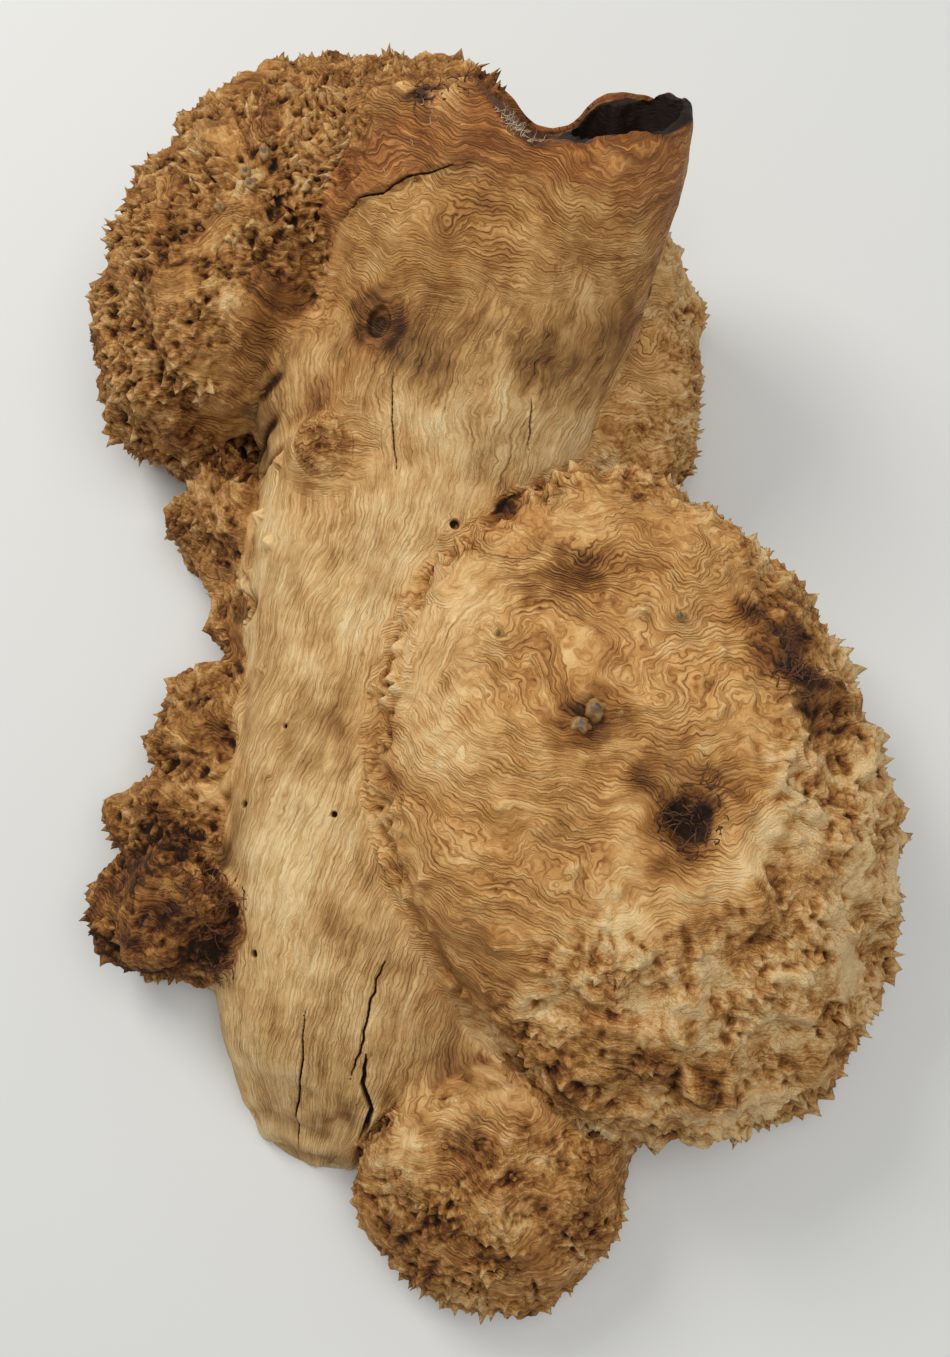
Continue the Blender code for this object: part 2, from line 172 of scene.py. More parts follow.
# %% Trunk and stub
# Stations along the pith: X, Y, Z, half width and half height.
TRUNK = (
    (-72, -250, -18, 20, 16),
    (-68, -232, -6, 46, 32),
    (-56, -186, 6, 68, 60),
    (-44, -96, 12, 77, 74),
    (-38, -8, 16, 78, 76),
    (-28, 62, 22, 82, 80),
    (-12, 124, 26, 84, 80),
    (2, 190, 16, 82, 80),
    (10, 262, -4, 64, 52),
)
STUB = (
    (-36, -10, 4, 64, 54),
    (-26, 60, 26, 74, 68),
    (-6, 122, 62, 77, 68),
    (10, 172, 102, 79, 64),
    (22, 214, 142, 80, 58),
    (28, 240, 168, 78, 56),
)
LIMB_BLUNTNESS = 6
LIMB_SQUARENESS = 0.86
CENTRE = np.array((4, -6, 0))

# %% Smooth curves and steps


def curve_value(before, here, there, after, t):
    """A smooth curve through here (t = 0) and there (t = 1)."""
    slope = 2 * before - 5 * here + 4 * there - after
    bend = -before + 3 * here - 3 * there + after
    return here + 0.5 * t * ((there - before) + t * (slope + t * bend))


def step(low, high, value):
    """0 at low, 1 at high, with a smooth rise between."""
    t = np.clip((value - low) / (high - low), 0, 1)
    return t * t * (3 - 2 * t)


# %% Where the points of a sphere go on a burl
def outline_radius(burl, across, along):
    """How far a burl's outline lies from its middle in a direction."""
    turn = np.arctan2(along, across) / (2 * math.pi) * 12 % 12
    start = np.floor(turn).astype(int)
    near = (np.take(burl["radii"], (start + k) % 12) for k in (-1, 0, 1, 2))
    return curve_value(*near, turn - start)


def girth_height(burl, x, y):
    """How high a burl is widest, at an X and Y."""
    lean = burl.get("lean", (0, 0))
    return burl["girth"] + lean[0] * (x - burl["middle"][0]) + lean[1] * (y - burl["middle"][1])


def burl_places(burl, ways):
    """Where the points of a unit sphere go on a burl."""
    x, y, z = ways.T
    flat = np.hypot(x, y)
    reach = outline_radius(burl, x, y) * flat ** burl["squareness"] / np.maximum(flat, 1e-6)
    shift = np.maximum(z, 0) ** 1.5
    px = burl["middle"][0] + x * reach + burl["top_shift"][0] * shift
    py = burl["middle"][1] + y * reach + burl["top_shift"][1] * shift
    girth = girth_height(burl, px, py)
    rise = np.where(z > 0, (burl["top"] - girth) * z, UNDERCUT * burl["girth"] * z)
    return np.stack((px, py, girth + rise), axis=1)


# %% Where they go on a limb
def limb_places(stations, ways):
    """Where the points of a unit sphere go on a limb drawn out along its pith."""
    stations = np.array(stations, float)
    last = len(stations) - 1
    x, y, z = ways.T
    along = (z + 1) / 2 * last
    start = np.clip(along.astype(int), 0, last - 1)
    rows = [stations[np.clip(start + k, 0, last)] for k in (-1, 0, 1, 2)]
    here = curve_value(*rows, (along - start)[:, None])
    ahead = curve_value(*rows, (along - start + 0.02)[:, None])
    heading = ahead[:, :3] - here[:, :3]
    heading /= np.linalg.norm(heading, axis=1)[:, None]
    side = np.cross(heading, (0, 0, 1))
    side /= np.linalg.norm(side, axis=1)[:, None]
    up = np.cross(side, heading)
    flat = np.maximum(np.hypot(x, y), 1e-6)
    size = (1 - np.abs(z) ** LIMB_BLUNTNESS) ** (1 / LIMB_BLUNTNESS) * (flat > 1e-5)
    across = np.sign(x) * np.abs(x / flat) ** LIMB_SQUARENESS * size * here[:, 3]
    over = np.sign(y) * np.abs(y / flat) ** LIMB_SQUARENESS * size * here[:, 4]
    return here[:, :3] + side * across[:, None] + up * over[:, None]


# %% [markdown]
# ## Broken stub
# The stub is broken off on a slant and rotted hollow down its right side, with a lip of shell
# behind the hollow. The break is a bent plane: one function gives how far it stands out, and both
# the stub's end and the block that trims it use that function.

# %% The break
MOUTH = np.array((24, 178, 166))
MOUTH_FACES = np.array(Vector((-0.08, 0.78, 0.62)).normalized())
MOUTH_RIGHT = np.array(Vector((1, 0, 0.12)).normalized())
MOUTH_DOWN = np.cross(MOUTH_FACES, MOUTH_RIGHT)
LIP_HEIGHT = 14
EASE_HEIGHT = 28


def noise_at(points, width, shift=0.0):
    """Smooth noise between -1 and 1, whose lumps are about as wide as width."""
    return np.array([noise.noise(place) for place in (points / width + shift).tolist()])


def mouth_height(right, down):
    """How far the break stands out, at a place to the right of the mouth and down from it."""
    lip = LIP_HEIGHT * step(8, 34, right) * step(8, 60, down)
    ease = EASE_HEIGHT * step(4, -26, right)
    return lip + ease + 3 * noise_at(np.stack((right, down, 0 * right), axis=1), 14)


def stub_places(ways):
    places = limb_places(STUB, ways)
    off = places - MOUTH
    beyond = off @ MOUTH_FACES - mouth_height(off @ MOUTH_RIGHT, off @ MOUTH_DOWN)
    return places - MOUTH_FACES * np.maximum(0, beyond)[:, None]


# %% [markdown]
# ## One skin
# On the tree these forms grew together. Here the stretched spheres overlap, a voxel remesh makes
# one closed skin of them, and smoothing turns their creases into the soft hollows of living wood. A
# Boolean union would keep every crease sharp, and that looks assembled.

# %% Tools for meshes


def object_from(work, name):
    made = bpy.data.objects.new(name, bpy.data.meshes.new(name))
    bmesh.ops.recalc_face_normals(work, faces=work.faces)
    work.to_mesh(made.data)
    work.free()
    bpy.context.scene.collection.objects.link(made)
    return made


def apply_modifiers(obj):
    bpy.context.view_layer.update()
    graph = bpy.context.evaluated_depsgraph_get()
    mesh = bpy.data.meshes.new_from_object(obj.evaluated_get(graph))
    obj.modifiers.clear()
    obj.data = mesh


def add_modifier(obj, kind, **settings):
    made = obj.modifiers.new(kind.lower(), kind)
    for key, value in settings.items():
        setattr(made, key, value)
    apply_modifiers(obj)


def places_of(mesh):
    flat = np.empty(len(mesh.vertices) * 3, np.float32)
    mesh.vertices.foreach_get("co", flat)
    return flat.reshape(-1, 3).astype(float) / MM


def normals_of(mesh):
    flat = np.empty(len(mesh.vertices) * 3, np.float32)
    mesh.vertex_normals.foreach_get("vector", flat)
    return flat.reshape(-1, 3).astype(float)


def put_places(mesh, places):
    mesh.vertices.foreach_set("co", (places * MM).astype(np.float32).ravel())
    mesh.update()


def stretched_sphere(work, place):
    """Adds a unit sphere whose points go where place sends them."""
    segments = {"u_segments": SPHERE_SEGMENTS, "v_segments": SPHERE_SEGMENTS // 2}
    made = bmesh.ops.create_uvsphere(work, radius=1, **segments)["verts"]
    for vert, spot in zip(made, place(np.array([vert.co for vert in made]))):
        vert.co = spot * MM


# %% Fuse the forms
SPHERE_SEGMENTS = 96
SKIN_VOXEL = 2.1
SKIN_SMOOTHING = 50

work = bmesh.new()
for burl in BURLS.values():
    stretched_sphere(work, lambda ways: burl_places(burl, ways))
stretched_sphere(work, lambda ways: limb_places(TRUNK, ways))
stretched_sphere(work, stub_places)
skin = object_from(work, "skin")
add_modifier(skin, "REMESH", mode="VOXEL", voxel_size=SKIN_VOXEL * MM)
add_modifier(skin, "SMOOTH", iterations=SKIN_SMOOTHING)
print("skin:", len(skin.data.polygons), "faces")

# %% [markdown]
# ## Regions
# Later steps ask which burl a point lies on. `level` is 1 on a burl's own skin and rises away from
# it, so a step on the level is a soft mask. A little noise makes its edge wander as bark does. The
# rot hollow is no burl's skin, so `share` leaves it out.

# %% Which burl a point lies on
FRINGE = ("fringe_top", "fringe_bud", "fringe_middle", "fringe_fan", "lump")
HOLLOW = np.array((67, 196, 132))
HOLLOW_AXIS = Vector((0.14, 0.70, 0.70)).normalized()
HOLLOW_TURN = np.array(HOLLOW_AXIS.to_track_quat("Z", "Y").to_matrix())
HOLLOW_HALF = (26, 30, 66)
HOLLOW_WALL = (1.16, 1.24)
SHARE_EDGE = (1.12, 1.34)
SHARE_WANDER = 0.09


def flat_distance(places, x, y):
    """Distance in plan from each point to an X and Y."""
    return np.hypot(places[:, 0] - x, places[:, 1] - y)


def fullness(burl, places):
    """How far out a point lies in the burl's plan: 1 on its outline."""
    across = places[:, 0] - burl["middle"][0]
    along = places[:, 1] - burl["middle"][1]
    return np.hypot(across, along) / outline_radius(burl, across, along)


def level(name, places):
    """1 on a burl's own skin, less inside it and more outside."""
    burl = BURLS[name]
    girth = girth_height(burl, places[:, 0], places[:, 1])
    above = places[:, 2] - girth
    tall = np.where(above > 0, burl["top"] - girth, UNDERCUT * burl["girth"])
    return fullness(burl, places) ** (2 / burl["squareness"]) + (above / tall) ** 2


def in_hollow(places):
    """1 in the rot hollow and on its wall."""
    local = (places - HOLLOW) @ HOLLOW_TURN / HOLLOW_HALF
    return 1 - step(*HOLLOW_WALL, np.linalg.norm(local, axis=1))


def share(names, places, inner=SHARE_EDGE[0], outer=SHARE_EDGE[1], wander=SHARE_WANDER):
    """1 on the named burls, 0 away from them and in the hollow."""
    nearest = np.min([level(name, places) for name in names], axis=0)
    near = 1 - step(inner, outer, nearest + wander * noise_at(places, 9))
    return near * (1 - in_hollow(places))


def rough_share(places):
    """1 on spiny and torn wood, which swells and dips more than the trunk does."""
    spiny = np.min([level(name, places) for name in ("crown", "foot", "shoulder", *FRINGE)], axis=0)
    on_dome = 1 - step(1.2, 1.5, level("dome", places))
    beyond = (places[:, 0] - 60 - (places[:, 1] + 110)) / 60
    return np.maximum(1 - step(1.2, 1.5, spiny), on_dome * step(0, 1, beyond))


# %% Swells and pits of the whole skin
# X, Y, radius and depth.
PITS = (
    (47, -71, 14, 5),
    (89, -112, 18, 9),
    (-43, 116, 13, 4),
    (-113, 2, 11, 6),
    (-18, 196, 13, 8),
    (150, -34, 16, 6),
)


def pit_depth(places):
    depth = 0
    for x, y, radius, deep in PITS:
        away = flat_distance(places, x, y) / radius
        depth = depth + deep * (1 - step(0.25, 1.0, away))
    return depth


places, normals = places_of(skin.data), normals_of(skin.data)
swell = 3.0 * noise_at(places, 55) + 5.0 * rough_share(places) * noise_at(places, 24)
pits = pit_depth(places) * (normals[:, 2] > 0.3)
put_places(skin.data, places + normals * (swell - pits)[:, None])
print("swells up to", round(float(np.abs(swell).max()), 1), "mm")

# %% [markdown]
# ## Cuts
# Three closed cutters make the break, the rot hollow and the sawn back. They are Boolean
# differences, because each leaves a crisp edge that smoothing would round away.

# %% Break
MOUTH_BLOCK = (150, 150, 100)
MOUTH_BLOCK_START = (28, 0, 0)
MOUTH_BLOCK_CUTS = 60

work = bmesh.new()
bmesh.ops.create_cube(work, size=1)
bmesh.ops.subdivide_edges(work, edges=work.edges, cuts=MOUTH_BLOCK_CUTS, use_grid_fill=True)
shape = np.array([vert.co for vert in work.verts]) + (0.5, 0, 0.5)
shape = shape * MOUTH_BLOCK - MOUTH_BLOCK_START
near = shape[:, 2] < 1
shape[near, 2] += mouth_height(shape[near, 0], shape[near, 1]) - 2
shape[near, 2] += 1.2 * noise_at(shape[near], 4)
shape = MOUTH + shape @ np.stack((MOUTH_RIGHT, MOUTH_DOWN, MOUTH_FACES))
for vert, spot in zip(work.verts, shape):
    vert.co = spot * MM
mouth_cutter = object_from(work, "mouth_cutter")

# %% Hollow and saw
work = bmesh.new()
bmesh.ops.create_icosphere(work, subdivisions=6, radius=1)
ways = np.array([vert.co for vert in work.verts])
uneven = 1 + 0.10 * noise_at(ways, 1 / 1.7) + 0.05 * noise_at(ways, 0.16)
shape = (ways * HOLLOW_HALF * uneven[:, None]) @ HOLLOW_TURN.T + HOLLOW
for vert, spot in zip(work.verts, shape):
    vert.co = spot * MM
hollow_cutter = object_from(work, "hollow_cutter")

work = bmesh.new()
bmesh.ops.create_cube(work, size=0.9)
bmesh.ops.translate(work, verts=work.verts, vec=(0, 0, -0.45))
saw_cutter = object_from(work, "saw_cutter")

for cutter in (mouth_cutter, hollow_cutter, saw_cutter):
    add_modifier(skin, "BOOLEAN", operation="DIFFERENCE", object=cutter, solver="MANIFOLD")
    bpy.data.objects.remove(cutter)
print("cut skin:", len(skin.data.polygons), "faces")

# %% [markdown]
# ## Where the skin is rough
# Burl wood is only spiny where buds broke through, and it calms down towards the trunk. Each spiny
# place below is one piece with a share of the skin: 1 where the piece is all burl and 0 where it
# isn't. The crown's share also runs up over the back of the fold, behind the fold's torn edge.

# %% Shares of the pieces
# X and Y along the fold's torn edge.
FOLD = np.array(
    ((-59, 163), (-40, 162), (-19, 163), (-2, 163), (19, 162), (36, 159), (71, 158), (95, 156))
)


def above_fold(places):
    """Millimetres up the cap from the fold's torn edge."""
    wavy = np.interp(places[:, 0], FOLD[:, 0], FOLD[:, 1]) + 2.2 * noise_at(places, 7)
    return places[:, 1] - wavy


def crown_share(places):
    back = 1 - step(*SHARE_EDGE, level("fold", places) + SHARE_WANDER * noise_at(places, 9))
    back *= step(5, 13, above_fold(places)) * step(26, 4, places[:, 0])
    return np.maximum(share(("crown",), places), back)


def knob_share(places):
    return share(("knob",), places, 1.05, 1.35, 0.15) * step(92, 97, places[:, 2])


SHARES = {
    "crown_burl": crown_share,
    "dome_burl": lambda places: share(("dome",), places),
    "foot_burl": lambda places: share(("foot",), places),
    "shoulder_burl": lambda places: share(("shoulder",), places),
    "fringe_burls": lambda places: share(FRINGE, places),
    "knob_burl": knob_share,
}
print(len(SHARES), "patches over the trunk")

# %% [markdown]
# ## Burl skins
# Spines need a mesh about a millimetre fine, which the whole cap can't have. So each burl gets a
# patch of its own: the skin's faces on that burl are copied, split in four and later raised. Where
# a patch ends it dips under the trunk wood, and the trunk wood dips under the patch.

# %% Cut out a burl's skin
DIP = 3.5
LEAST_SHARE = 0.02
SMALL_ISLAND = 600
SAWN_BELOW = 0.2
PIECES = {}


def islands_of(work):
    """The mesh's connected groups of faces, largest first."""
    seen, islands = set(), []
    for start in work.faces:
        if start in seen:
            continue
        seen.add(start)
        group, queue = [], [start]
        while queue:
            face = queue.pop()
            group.append(face)
            for edge in face.edges:
                for other in edge.link_faces:
                    if other not in seen:
                        seen.add(other)
                        queue.append(other)
        islands.append(group)
    return sorted(islands, key=len, reverse=True)


def patch(name, cuts=1):
    """A finer copy of the skin's faces on a piece, still open at its rim."""
    work = bmesh.new()
    work.from_mesh(skin.data)
    keep = SHARES[name](places_of(skin.data)) > LEAST_SHARE
    doomed = [
        face
        for face in work.faces
        if not any(keep[vert.index] for vert in face.verts)
        or max(vert.co.z for vert in face.verts) < SAWN_BELOW * MM
    ]
    bmesh.ops.delete(work, geom=doomed, context="FACES")
    small = [island for island in islands_of(work)[1:] if len(island) < SMALL_ISLAND]
    bmesh.ops.delete(work, geom=[face for island in small for face in island], context="FACES")
    bmesh.ops.subdivide_edges(work, edges=work.edges, cuts=cuts, use_grid_fill=True)
    for _ in range(2):
        inner = [vert for vert in work.verts if not vert.is_boundary]
        bmesh.ops.smooth_vert(
            work, verts=inner, factor=0.5, use_axis_x=True, use_axis_y=True, use_axis_z=True
        )
    piece = object_from(work, name)
    PIECES[name] = piece
    print(name, len(piece.data.polygons), "faces")
    return piece


# %% Close a patch
def edge_dip(burly):
    """How deep a patch dips under the trunk where its share runs out."""
    return DIP * np.clip(1 - burly / 0.5, 0, 1)


def close_rim(piece, depth=6.0):
    """Turns an open patch into a closed piece: its rim is drawn inwards and capped."""
    work = bmesh.new()
    work.from_mesh(piece.data)
    rim = [edge for edge in work.edges if edge.is_boundary]
    drawn = bmesh.ops.extrude_edge_only(work, edges=rim)["geom"]
    fresh = [item for item in drawn if isinstance(item, bmesh.types.BMVert)]
    rim = [item for item in drawn if isinstance(item, bmesh.types.BMEdge) and item.is_boundary]
    middle = sum((vert.co for vert in fresh), Vector()) / len(fresh)
    for vert in fresh:
        vert.co += (middle - vert.co).normalized() * depth * MM
        vert.co.z = max(vert.co.z, 0)
    bmesh.ops.holes_fill(work, edges=rim, sides=0)
    big = [face for face in work.faces if len(face.verts) > 4]
    bmesh.ops.triangulate(work, faces=big)
    bmesh.ops.recalc_face_normals(work, faces=work.faces)
    work.to_mesh(piece.data)
    work.free()


# %% [markdown]
# ## Spines
# A spine is raised from the skin: the points near its root move along its lean, the nearer the
# further, so the wood flows up into it. The roots are scattered no closer than a spacing, which
# looks grown, where a grid or pure chance would not. Under the spines lies craggy ground, made of
# noise, of crests drawn out to the burl's rim and of pores.

# %% Scatter roots


def scatter(places, allowed, spacing, rng):
    """Vertex numbers picked at random, none nearer than the spacing to another."""
    picks, cells = [], {}
    order = np.flatnonzero(allowed).tolist()
    rng.shuffle(order)
    for pick in order:
        spot = places[pick].tolist()
        x, y, z = (math.floor(value / spacing) for value in spot)
        near = (
            other
            for i in (x - 1, x, x + 1)
            for j in (y - 1, y, y + 1)
            for k in (z - 1, z, z + 1)
            for other in cells.get((i, j, k), ())
        )
        if all(math.dist(other, spot) > spacing for other in near):
            cells.setdefault((x, y, z), []).append(spot)
            picks.append(pick)
    return picks


# %% Raise spines


def raise_spines(places, picks, ways, heights, radii, power=1.2, ribs=0.3, hook=0.35):
    """How far each point moves. A spine is ribbed, and its tip hooks to one side."""
    tree = kdtree.KDTree(len(places))
    for index, spot in enumerate(places.tolist()):
        tree.insert(spot, index)
    tree.balance()
    moves = np.zeros_like(places)
    best = np.zeros(len(places))
    for pick, way, height, radius in zip(picks, ways, heights, radii):
        root = Vector(places[pick])
        way = Vector(way)
        side = way.orthogonal().normalized()
        other = way.cross(side)
        count = 2 + pick % 4
        turned = pick % 7
        bent = (side * math.cos(turned) + other * math.sin(turned)) * hook
        for spot, index, _ in tree.find_range(root, radius * (1 + ribs)):
            off = spot - root
            across, along = off.dot(side), off.dot(other)
            away = math.hypot(across, along)
            wave = math.sin(count * math.atan2(along, across) + turned)
            t = 1 - away / (radius * (1 + ribs * wave))
            if t > 0 and height * t**power > best[index]:
                best[index] = height * t**power
                moves[index] = (way + bent * t) * best[index]
    return moves


def leaning(places, normals, picks, names, lean, rng, jitter=0.45):
    """The way each spine points: out of the skin, and towards its burl's rim."""
    spots = places[picks]
    levels = np.array([level(name, spots) for name in names])
    middles = np.array([BURLS[name]["middle"] for name in names])[levels.argmin(axis=0)]
    out = np.zeros_like(spots)
    out[:, :2] = spots[:, :2] - middles
    out /= np.linalg.norm(out, axis=1)[:, None] + 1e-6
    wander = np.array([[rng.uniform(-1, 1) for _ in range(3)] for _ in picks]) * jitter
    ways = normals[picks] + out * lean + wander
    return ways / np.linalg.norm(ways, axis=1)[:, None]


# %% Crests, pores and flutes
def crests(places, width, shift=0.0):
    """Noise with sharp crests, about -0.5 to 0.5."""
    return 0.5 - 2 * np.abs(noise_at(places, width, shift))


def pores(places, width, shift=0.0):
    """1 in scattered pits, 0 between them."""
    return step(0.22, 0.5, noise_at(places, width, shift))


def flutes(places, middle, width, length):
    """Crests that run out from a burl's middle, as if drawn to its rim."""
    across, along = places[:, 0] - middle[0], places[:, 1] - middle[1]
    far = np.hypot(across, along)
    turns = np.arctan2(along, across) * 90 / width
    return crests(np.stack((turns, far / length, places[:, 2] / length), axis=1), 1.0)


def softened(mesh, places, rounds):
    """The points after each has moved towards its neighbours a number of times."""
    ends = np.empty(len(mesh.edges) * 2, np.int32)
    mesh.edges.foreach_get("vertices", ends)
    one, two = ends.reshape(-1, 2).T
    here, there = np.concatenate((one, two)), np.concatenate((two, one))
    count = np.maximum(np.bincount(here, minlength=len(places)), 1)
    for _ in range(rounds):
        near = [np.bincount(here, places[there, axis], len(places)) / count for axis in range(3)]
        places = 0.5 * places + 0.5 * np.stack(near, axis=1)
    return places


# %% [markdown]
# ## What the finish needs to know
# The finish reads things about each point that its place alone can't say. They are stored on the
# mesh in three vectors. `grain` holds two heights in millimetres whose contours run along the
# grain, one for the long grain of the trunk and one for the curls elsewhere, and how curly the wood
# is. `look` holds the tone, which is how pale the wood is with some painted light and shade mixed
# in, how far the point stands out of its surroundings, which the finish turns into painted shade in
# clefts and painted highlights on tips, and how rough it is. `stain` holds how charred, how red and
# how freshly sawn it is.

# %% Grain heights
STUB_AXIS = np.array(Vector((0.16, 0.68, 0.66)).normalized())
KNOB = (-68, 64)
# Curls on the trunk, round its knot and its knob: X, Y and radius.
CURLED_SPOTS = ((-43, 115, 15), (*KNOB, 26))
# Eyes that the curls loop round: X and Y, radius, and the height that gives them rings.
EYES = (
    (47, -70, 17, 13),
    (65, -52, 7, 6),
    (79, -62, 8, 7),
    (9, -32, 8, 7),
    (88, -25, 9, 8),
    (52, -21, 7, 6),
    (43, -3, 11, 9),
    (-43, 115, 13, 12),
    (-13, 141, 7, 7),
    (20, 118, 16, 7),
    (15, -125, 14, 6),
    (60, -165, 12, 6),
    (89, -112, 20, 12),
    (30, 20, 12, 5),
)


def long_grain(places):
    """Arc length round the pith, so that its contours run up the trunk."""
    pith = np.array(TRUNK, float)
    x = places[:, 0] - np.interp(places[:, 1], pith[:, 1], pith[:, 0])
    z = places[:, 2] - np.interp(places[:, 1], pith[:, 1], pith[:, 2])
    around = 76 * np.arctan2(x, np.maximum(z, 8)) + 64 * step(60, -210, places[:, 1])
    return around + 8 * noise_at(places, 60) + 2.6 * noise_at(places, 15)


def curled_grain(places):
    """Contours that cross the stub and loop round the eyes of the burls."""
    height = places @ STUB_AXIS + 17 * noise_at(places, 44, 7) + 5 * noise_at(places, 15, 3)
    for x, y, radius, rings in EYES:
        away = flat_distance(places, x, y) / radius
        height = height + rings * np.exp(-away * away)
    return height


def stub_share(places):
    """1 on the stub, whose grain runs across it."""
    lower = step(96, 140, places[:, 1] + 14 * noise_at(places, 30, 5))
    return lower * step(80, 118, places[:, 2])


def curl_share(places):
    """0 where the grain runs up the trunk, 1 on the stub and on the burls."""
    burls = share(("dome", "crown", "foot", "shoulder", *FRINGE), places, 1.1, 1.5)
    curls = np.maximum(stub_share(places), burls)
    for x, y, radius in CURLED_SPOTS:
        curls = np.maximum(curls, np.exp(-((flat_distance(places, x, y) / radius) ** 2)))
    return curls


# %% Tones of burls and places
# The trunk's tone.
TONE = 0.77
# How pale each burl is, from nearly black at 0 to white straw at 1.
TONES = (
    (("dome",), 0.69),
    # The shoulder's tone is partly its own pale wood and partly painted light on its shaded side.
    (("shoulder",), 0.77),
    (("crown", "fold"), 0.54),
    (("foot",), 0.56),
    (FRINGE[:-1], 0.52),
    (("lump",), 0.36),
)
# Paler and darker places: X, Y, Z, radius, and how much tone they add.
TONE_SPOTS = (
    (43, -3, 118, 13, -0.3),
    (24, -12, 118, 9, -0.16),
    (-11, -34, 112, 9, -0.12),
    (92, -212, 94, 24, -0.3),
    (134, -31, 105, 24, -0.4),
    (153, -65, 97, 24, -0.34),
    (89, -111, 115, 26, -0.34),
    (112, -93, 119, 12, -0.2),
    (48, -68, 116, 19, -0.3),
    (43, 8, 116, 44, -0.08),
    (25, -150, 108, 42, -0.03),
    # Painted light on the crown's lower flank, which the lamps leave in shade.
    (-120, 120, 80, 40, 0.12),
    (-43, 114, 122, 16, -0.3),
    (-93, 128, 110, 17, -0.22),
    (-104, 143, 121, 14, -0.14),
    (-102, 98, 84, 15, -0.2),
    (30, 95, 122, 16, -0.2),
    (60, 112, 115, 20, -0.14),
    (-20, 100, 125, 24, -0.1),
    (-128, -138, 40, 46, -0.1),
    (-72, -70, 85, 22, -0.14),
    (-45, -150, 76, 26, -0.12),
    (-22, -200, 66, 22, -0.12),
    (10, -236, 67, 15, -0.12),
    (-92, -50, 72, 46, -0.06),
    (-101, -140, 60, 26, 0.06),
    (150, -130, 80, 24, 0.05),
    (-110, 185, 126, 12, 0.2),
    (-125, 205, 118, 12, 0.14),
    (-30, 197, 172, 32, -0.14),
    (12, 192, 168, 26, -0.12),
    (-68, 62, 106, 26, -0.12),
    (-66, 67, 107, 11, -0.16),
    (-76, 56, 104, 7, -0.12),
    (34, -186, 98, 42, -0.08),
    # Painted shadows in the crevices of the dome's rough lower right.
    (112, -148, 118, 13, -0.26),
    (138, -188, 101, 12, -0.26),
    (152, -166, 101, 11, -0.24),
    (119, -164, 114, 9, -0.2),
    (160, -110, 105, 10, -0.16),
    (128, -128, 117, 9, -0.16),
    (-75, 150, 126, 14, -0.14),
    (-95, 215, 122, 12, -0.1),
    (-128, 170, 112, 14, -0.1),
    (-152, -150, 46, 10, -0.24),
    (-126, -127, 60, 9, 0.2),
    (-140, -160, 50, 9, 0.16),
    (-136, -143, 62, 8, -0.2),
    (-15, -284, 52, 16, -0.14),
    (34, -284, 50, 14, -0.14),
    (4, -262, 64, 12, 0.12),
    (30, -246, 62, 12, 0.1),
    (120, 120, 60, 26, -0.06),
)
print(len(TONE_SPOTS), "paler and darker places")

# %% Charred and rotted places
# X, Y, Z, radius and how dark.
CHARRED = (
    (48, -69, 113, 13, 0.62),
    (89, -112, 106, 13, 0.85),
    (99, -103, 112, 8, 0.5),
    (-43, 115, 118, 7, 0.6),
    (-18, 190, 168, 13, 0.9),
    (140, -46, 100, 13, 0.8),
    (133, -28, 103, 7, 0.6),
    (-113, 2, 40, 8, 0.5),
    (-108, 96, 72, 9, 0.5),
)


def spots_sum(places, spots):
    """The spots' values, each faded out round its middle with a wandering edge."""
    total = np.zeros(len(places))
    for x, y, z, radius, value in spots:
        near = np.linalg.norm(places - (x, y, z), axis=1) < radius * 2
        away = np.linalg.norm(places[near] - (x, y, z), axis=1) / radius
        away += 0.6 * noise_at(places[near], radius / 2)
        total[near] += value * (1 - step(0.5, 1.3, away))
    return total


# %% Break, fold and rims
def on_break(places):
    """1 on the broken end of the stub."""
    off = places - MOUTH
    right, down = off @ MOUTH_RIGHT, off @ MOUTH_DOWN
    beyond = off @ MOUTH_FACES - mouth_height(right, down)
    return step(-6, -3, beyond) * step(-30, -16, right) * (right < 110) * (np.abs(down) < 130)


def fold_band(places):
    """The red layer along the torn edge: sharp on the left, fading down the stub on the right."""
    above = above_fold(places)
    sharp = step(-1.0, 1.0, above)
    soft = step(-11, 1, above + 7 * noise_at(places, 14))
    right = step(-12, 14, places[:, 0])
    reach = step(30, 14, above + 6 * noise_at(places, 12)) * step(-76, -60, places[:, 0])
    return (sharp + (soft - sharp) * right) * reach * step(112, 126, places[:, 2])


def bearing_on_dome(places):
    """Degrees round the dome's middle, anticlockwise from +X."""
    middle = BURLS["dome"]["middle"]
    return np.degrees(np.arctan2(places[:, 1] - middle[1], places[:, 0] - middle[0]))


# %% Tone at a point
def tone_at(places):
    """How pale the wood is at each point, with painted light and shade in some regions and spots."""
    tone = TONE - 0.02 * step(-90, -190, places[:, 1]) - 0.2 * step(66, 106, places[:, 1])
    tone += (0.63 - tone) * stub_share(places)
    for names, value in TONES:
        tone += (value - tone) * share(names, places, 1.05, 1.5, 0.2)
    on_dome = share(("dome",), places)
    full, bearing = fullness(BURLS["dome"], places), bearing_on_dome(places)
    left_rim = step(0.9, 0.97, full) * step(1.08, 1.02, full) * step(88, 104, bearing)
    low_rim = step(0.82, 0.98, full) * step(95, 60, np.abs(bearing + 50))
    # Painted light and shade on the dome's rough lower right: its tone is lifted where the lamps
    # leave it darker, and broad patches of noise lighten and darken it.
    tone += on_dome * rough_share(places) * (0.36 * noise_at(places, 24, 4) + 0.16)
    tone -= on_dome * (left_rim * (0.06 + 0.3 * noise_at(places, 16, 15)) + 0.16 * low_rim)
    return tone + spots_sum(places, TONE_SPOTS) - 0.02 * fold_band(places)


# %% Store them on the mesh
SOFTENING = 24


def store(mesh, name, columns):
    """Puts three numbers for each point on the mesh as one vector."""
    made = mesh.attributes.new(name, "FLOAT_VECTOR", "POINT")
    values = np.stack([np.asarray(column, np.float32) for column in columns], axis=1)
    made.data.foreach_set("vector", values.ravel())


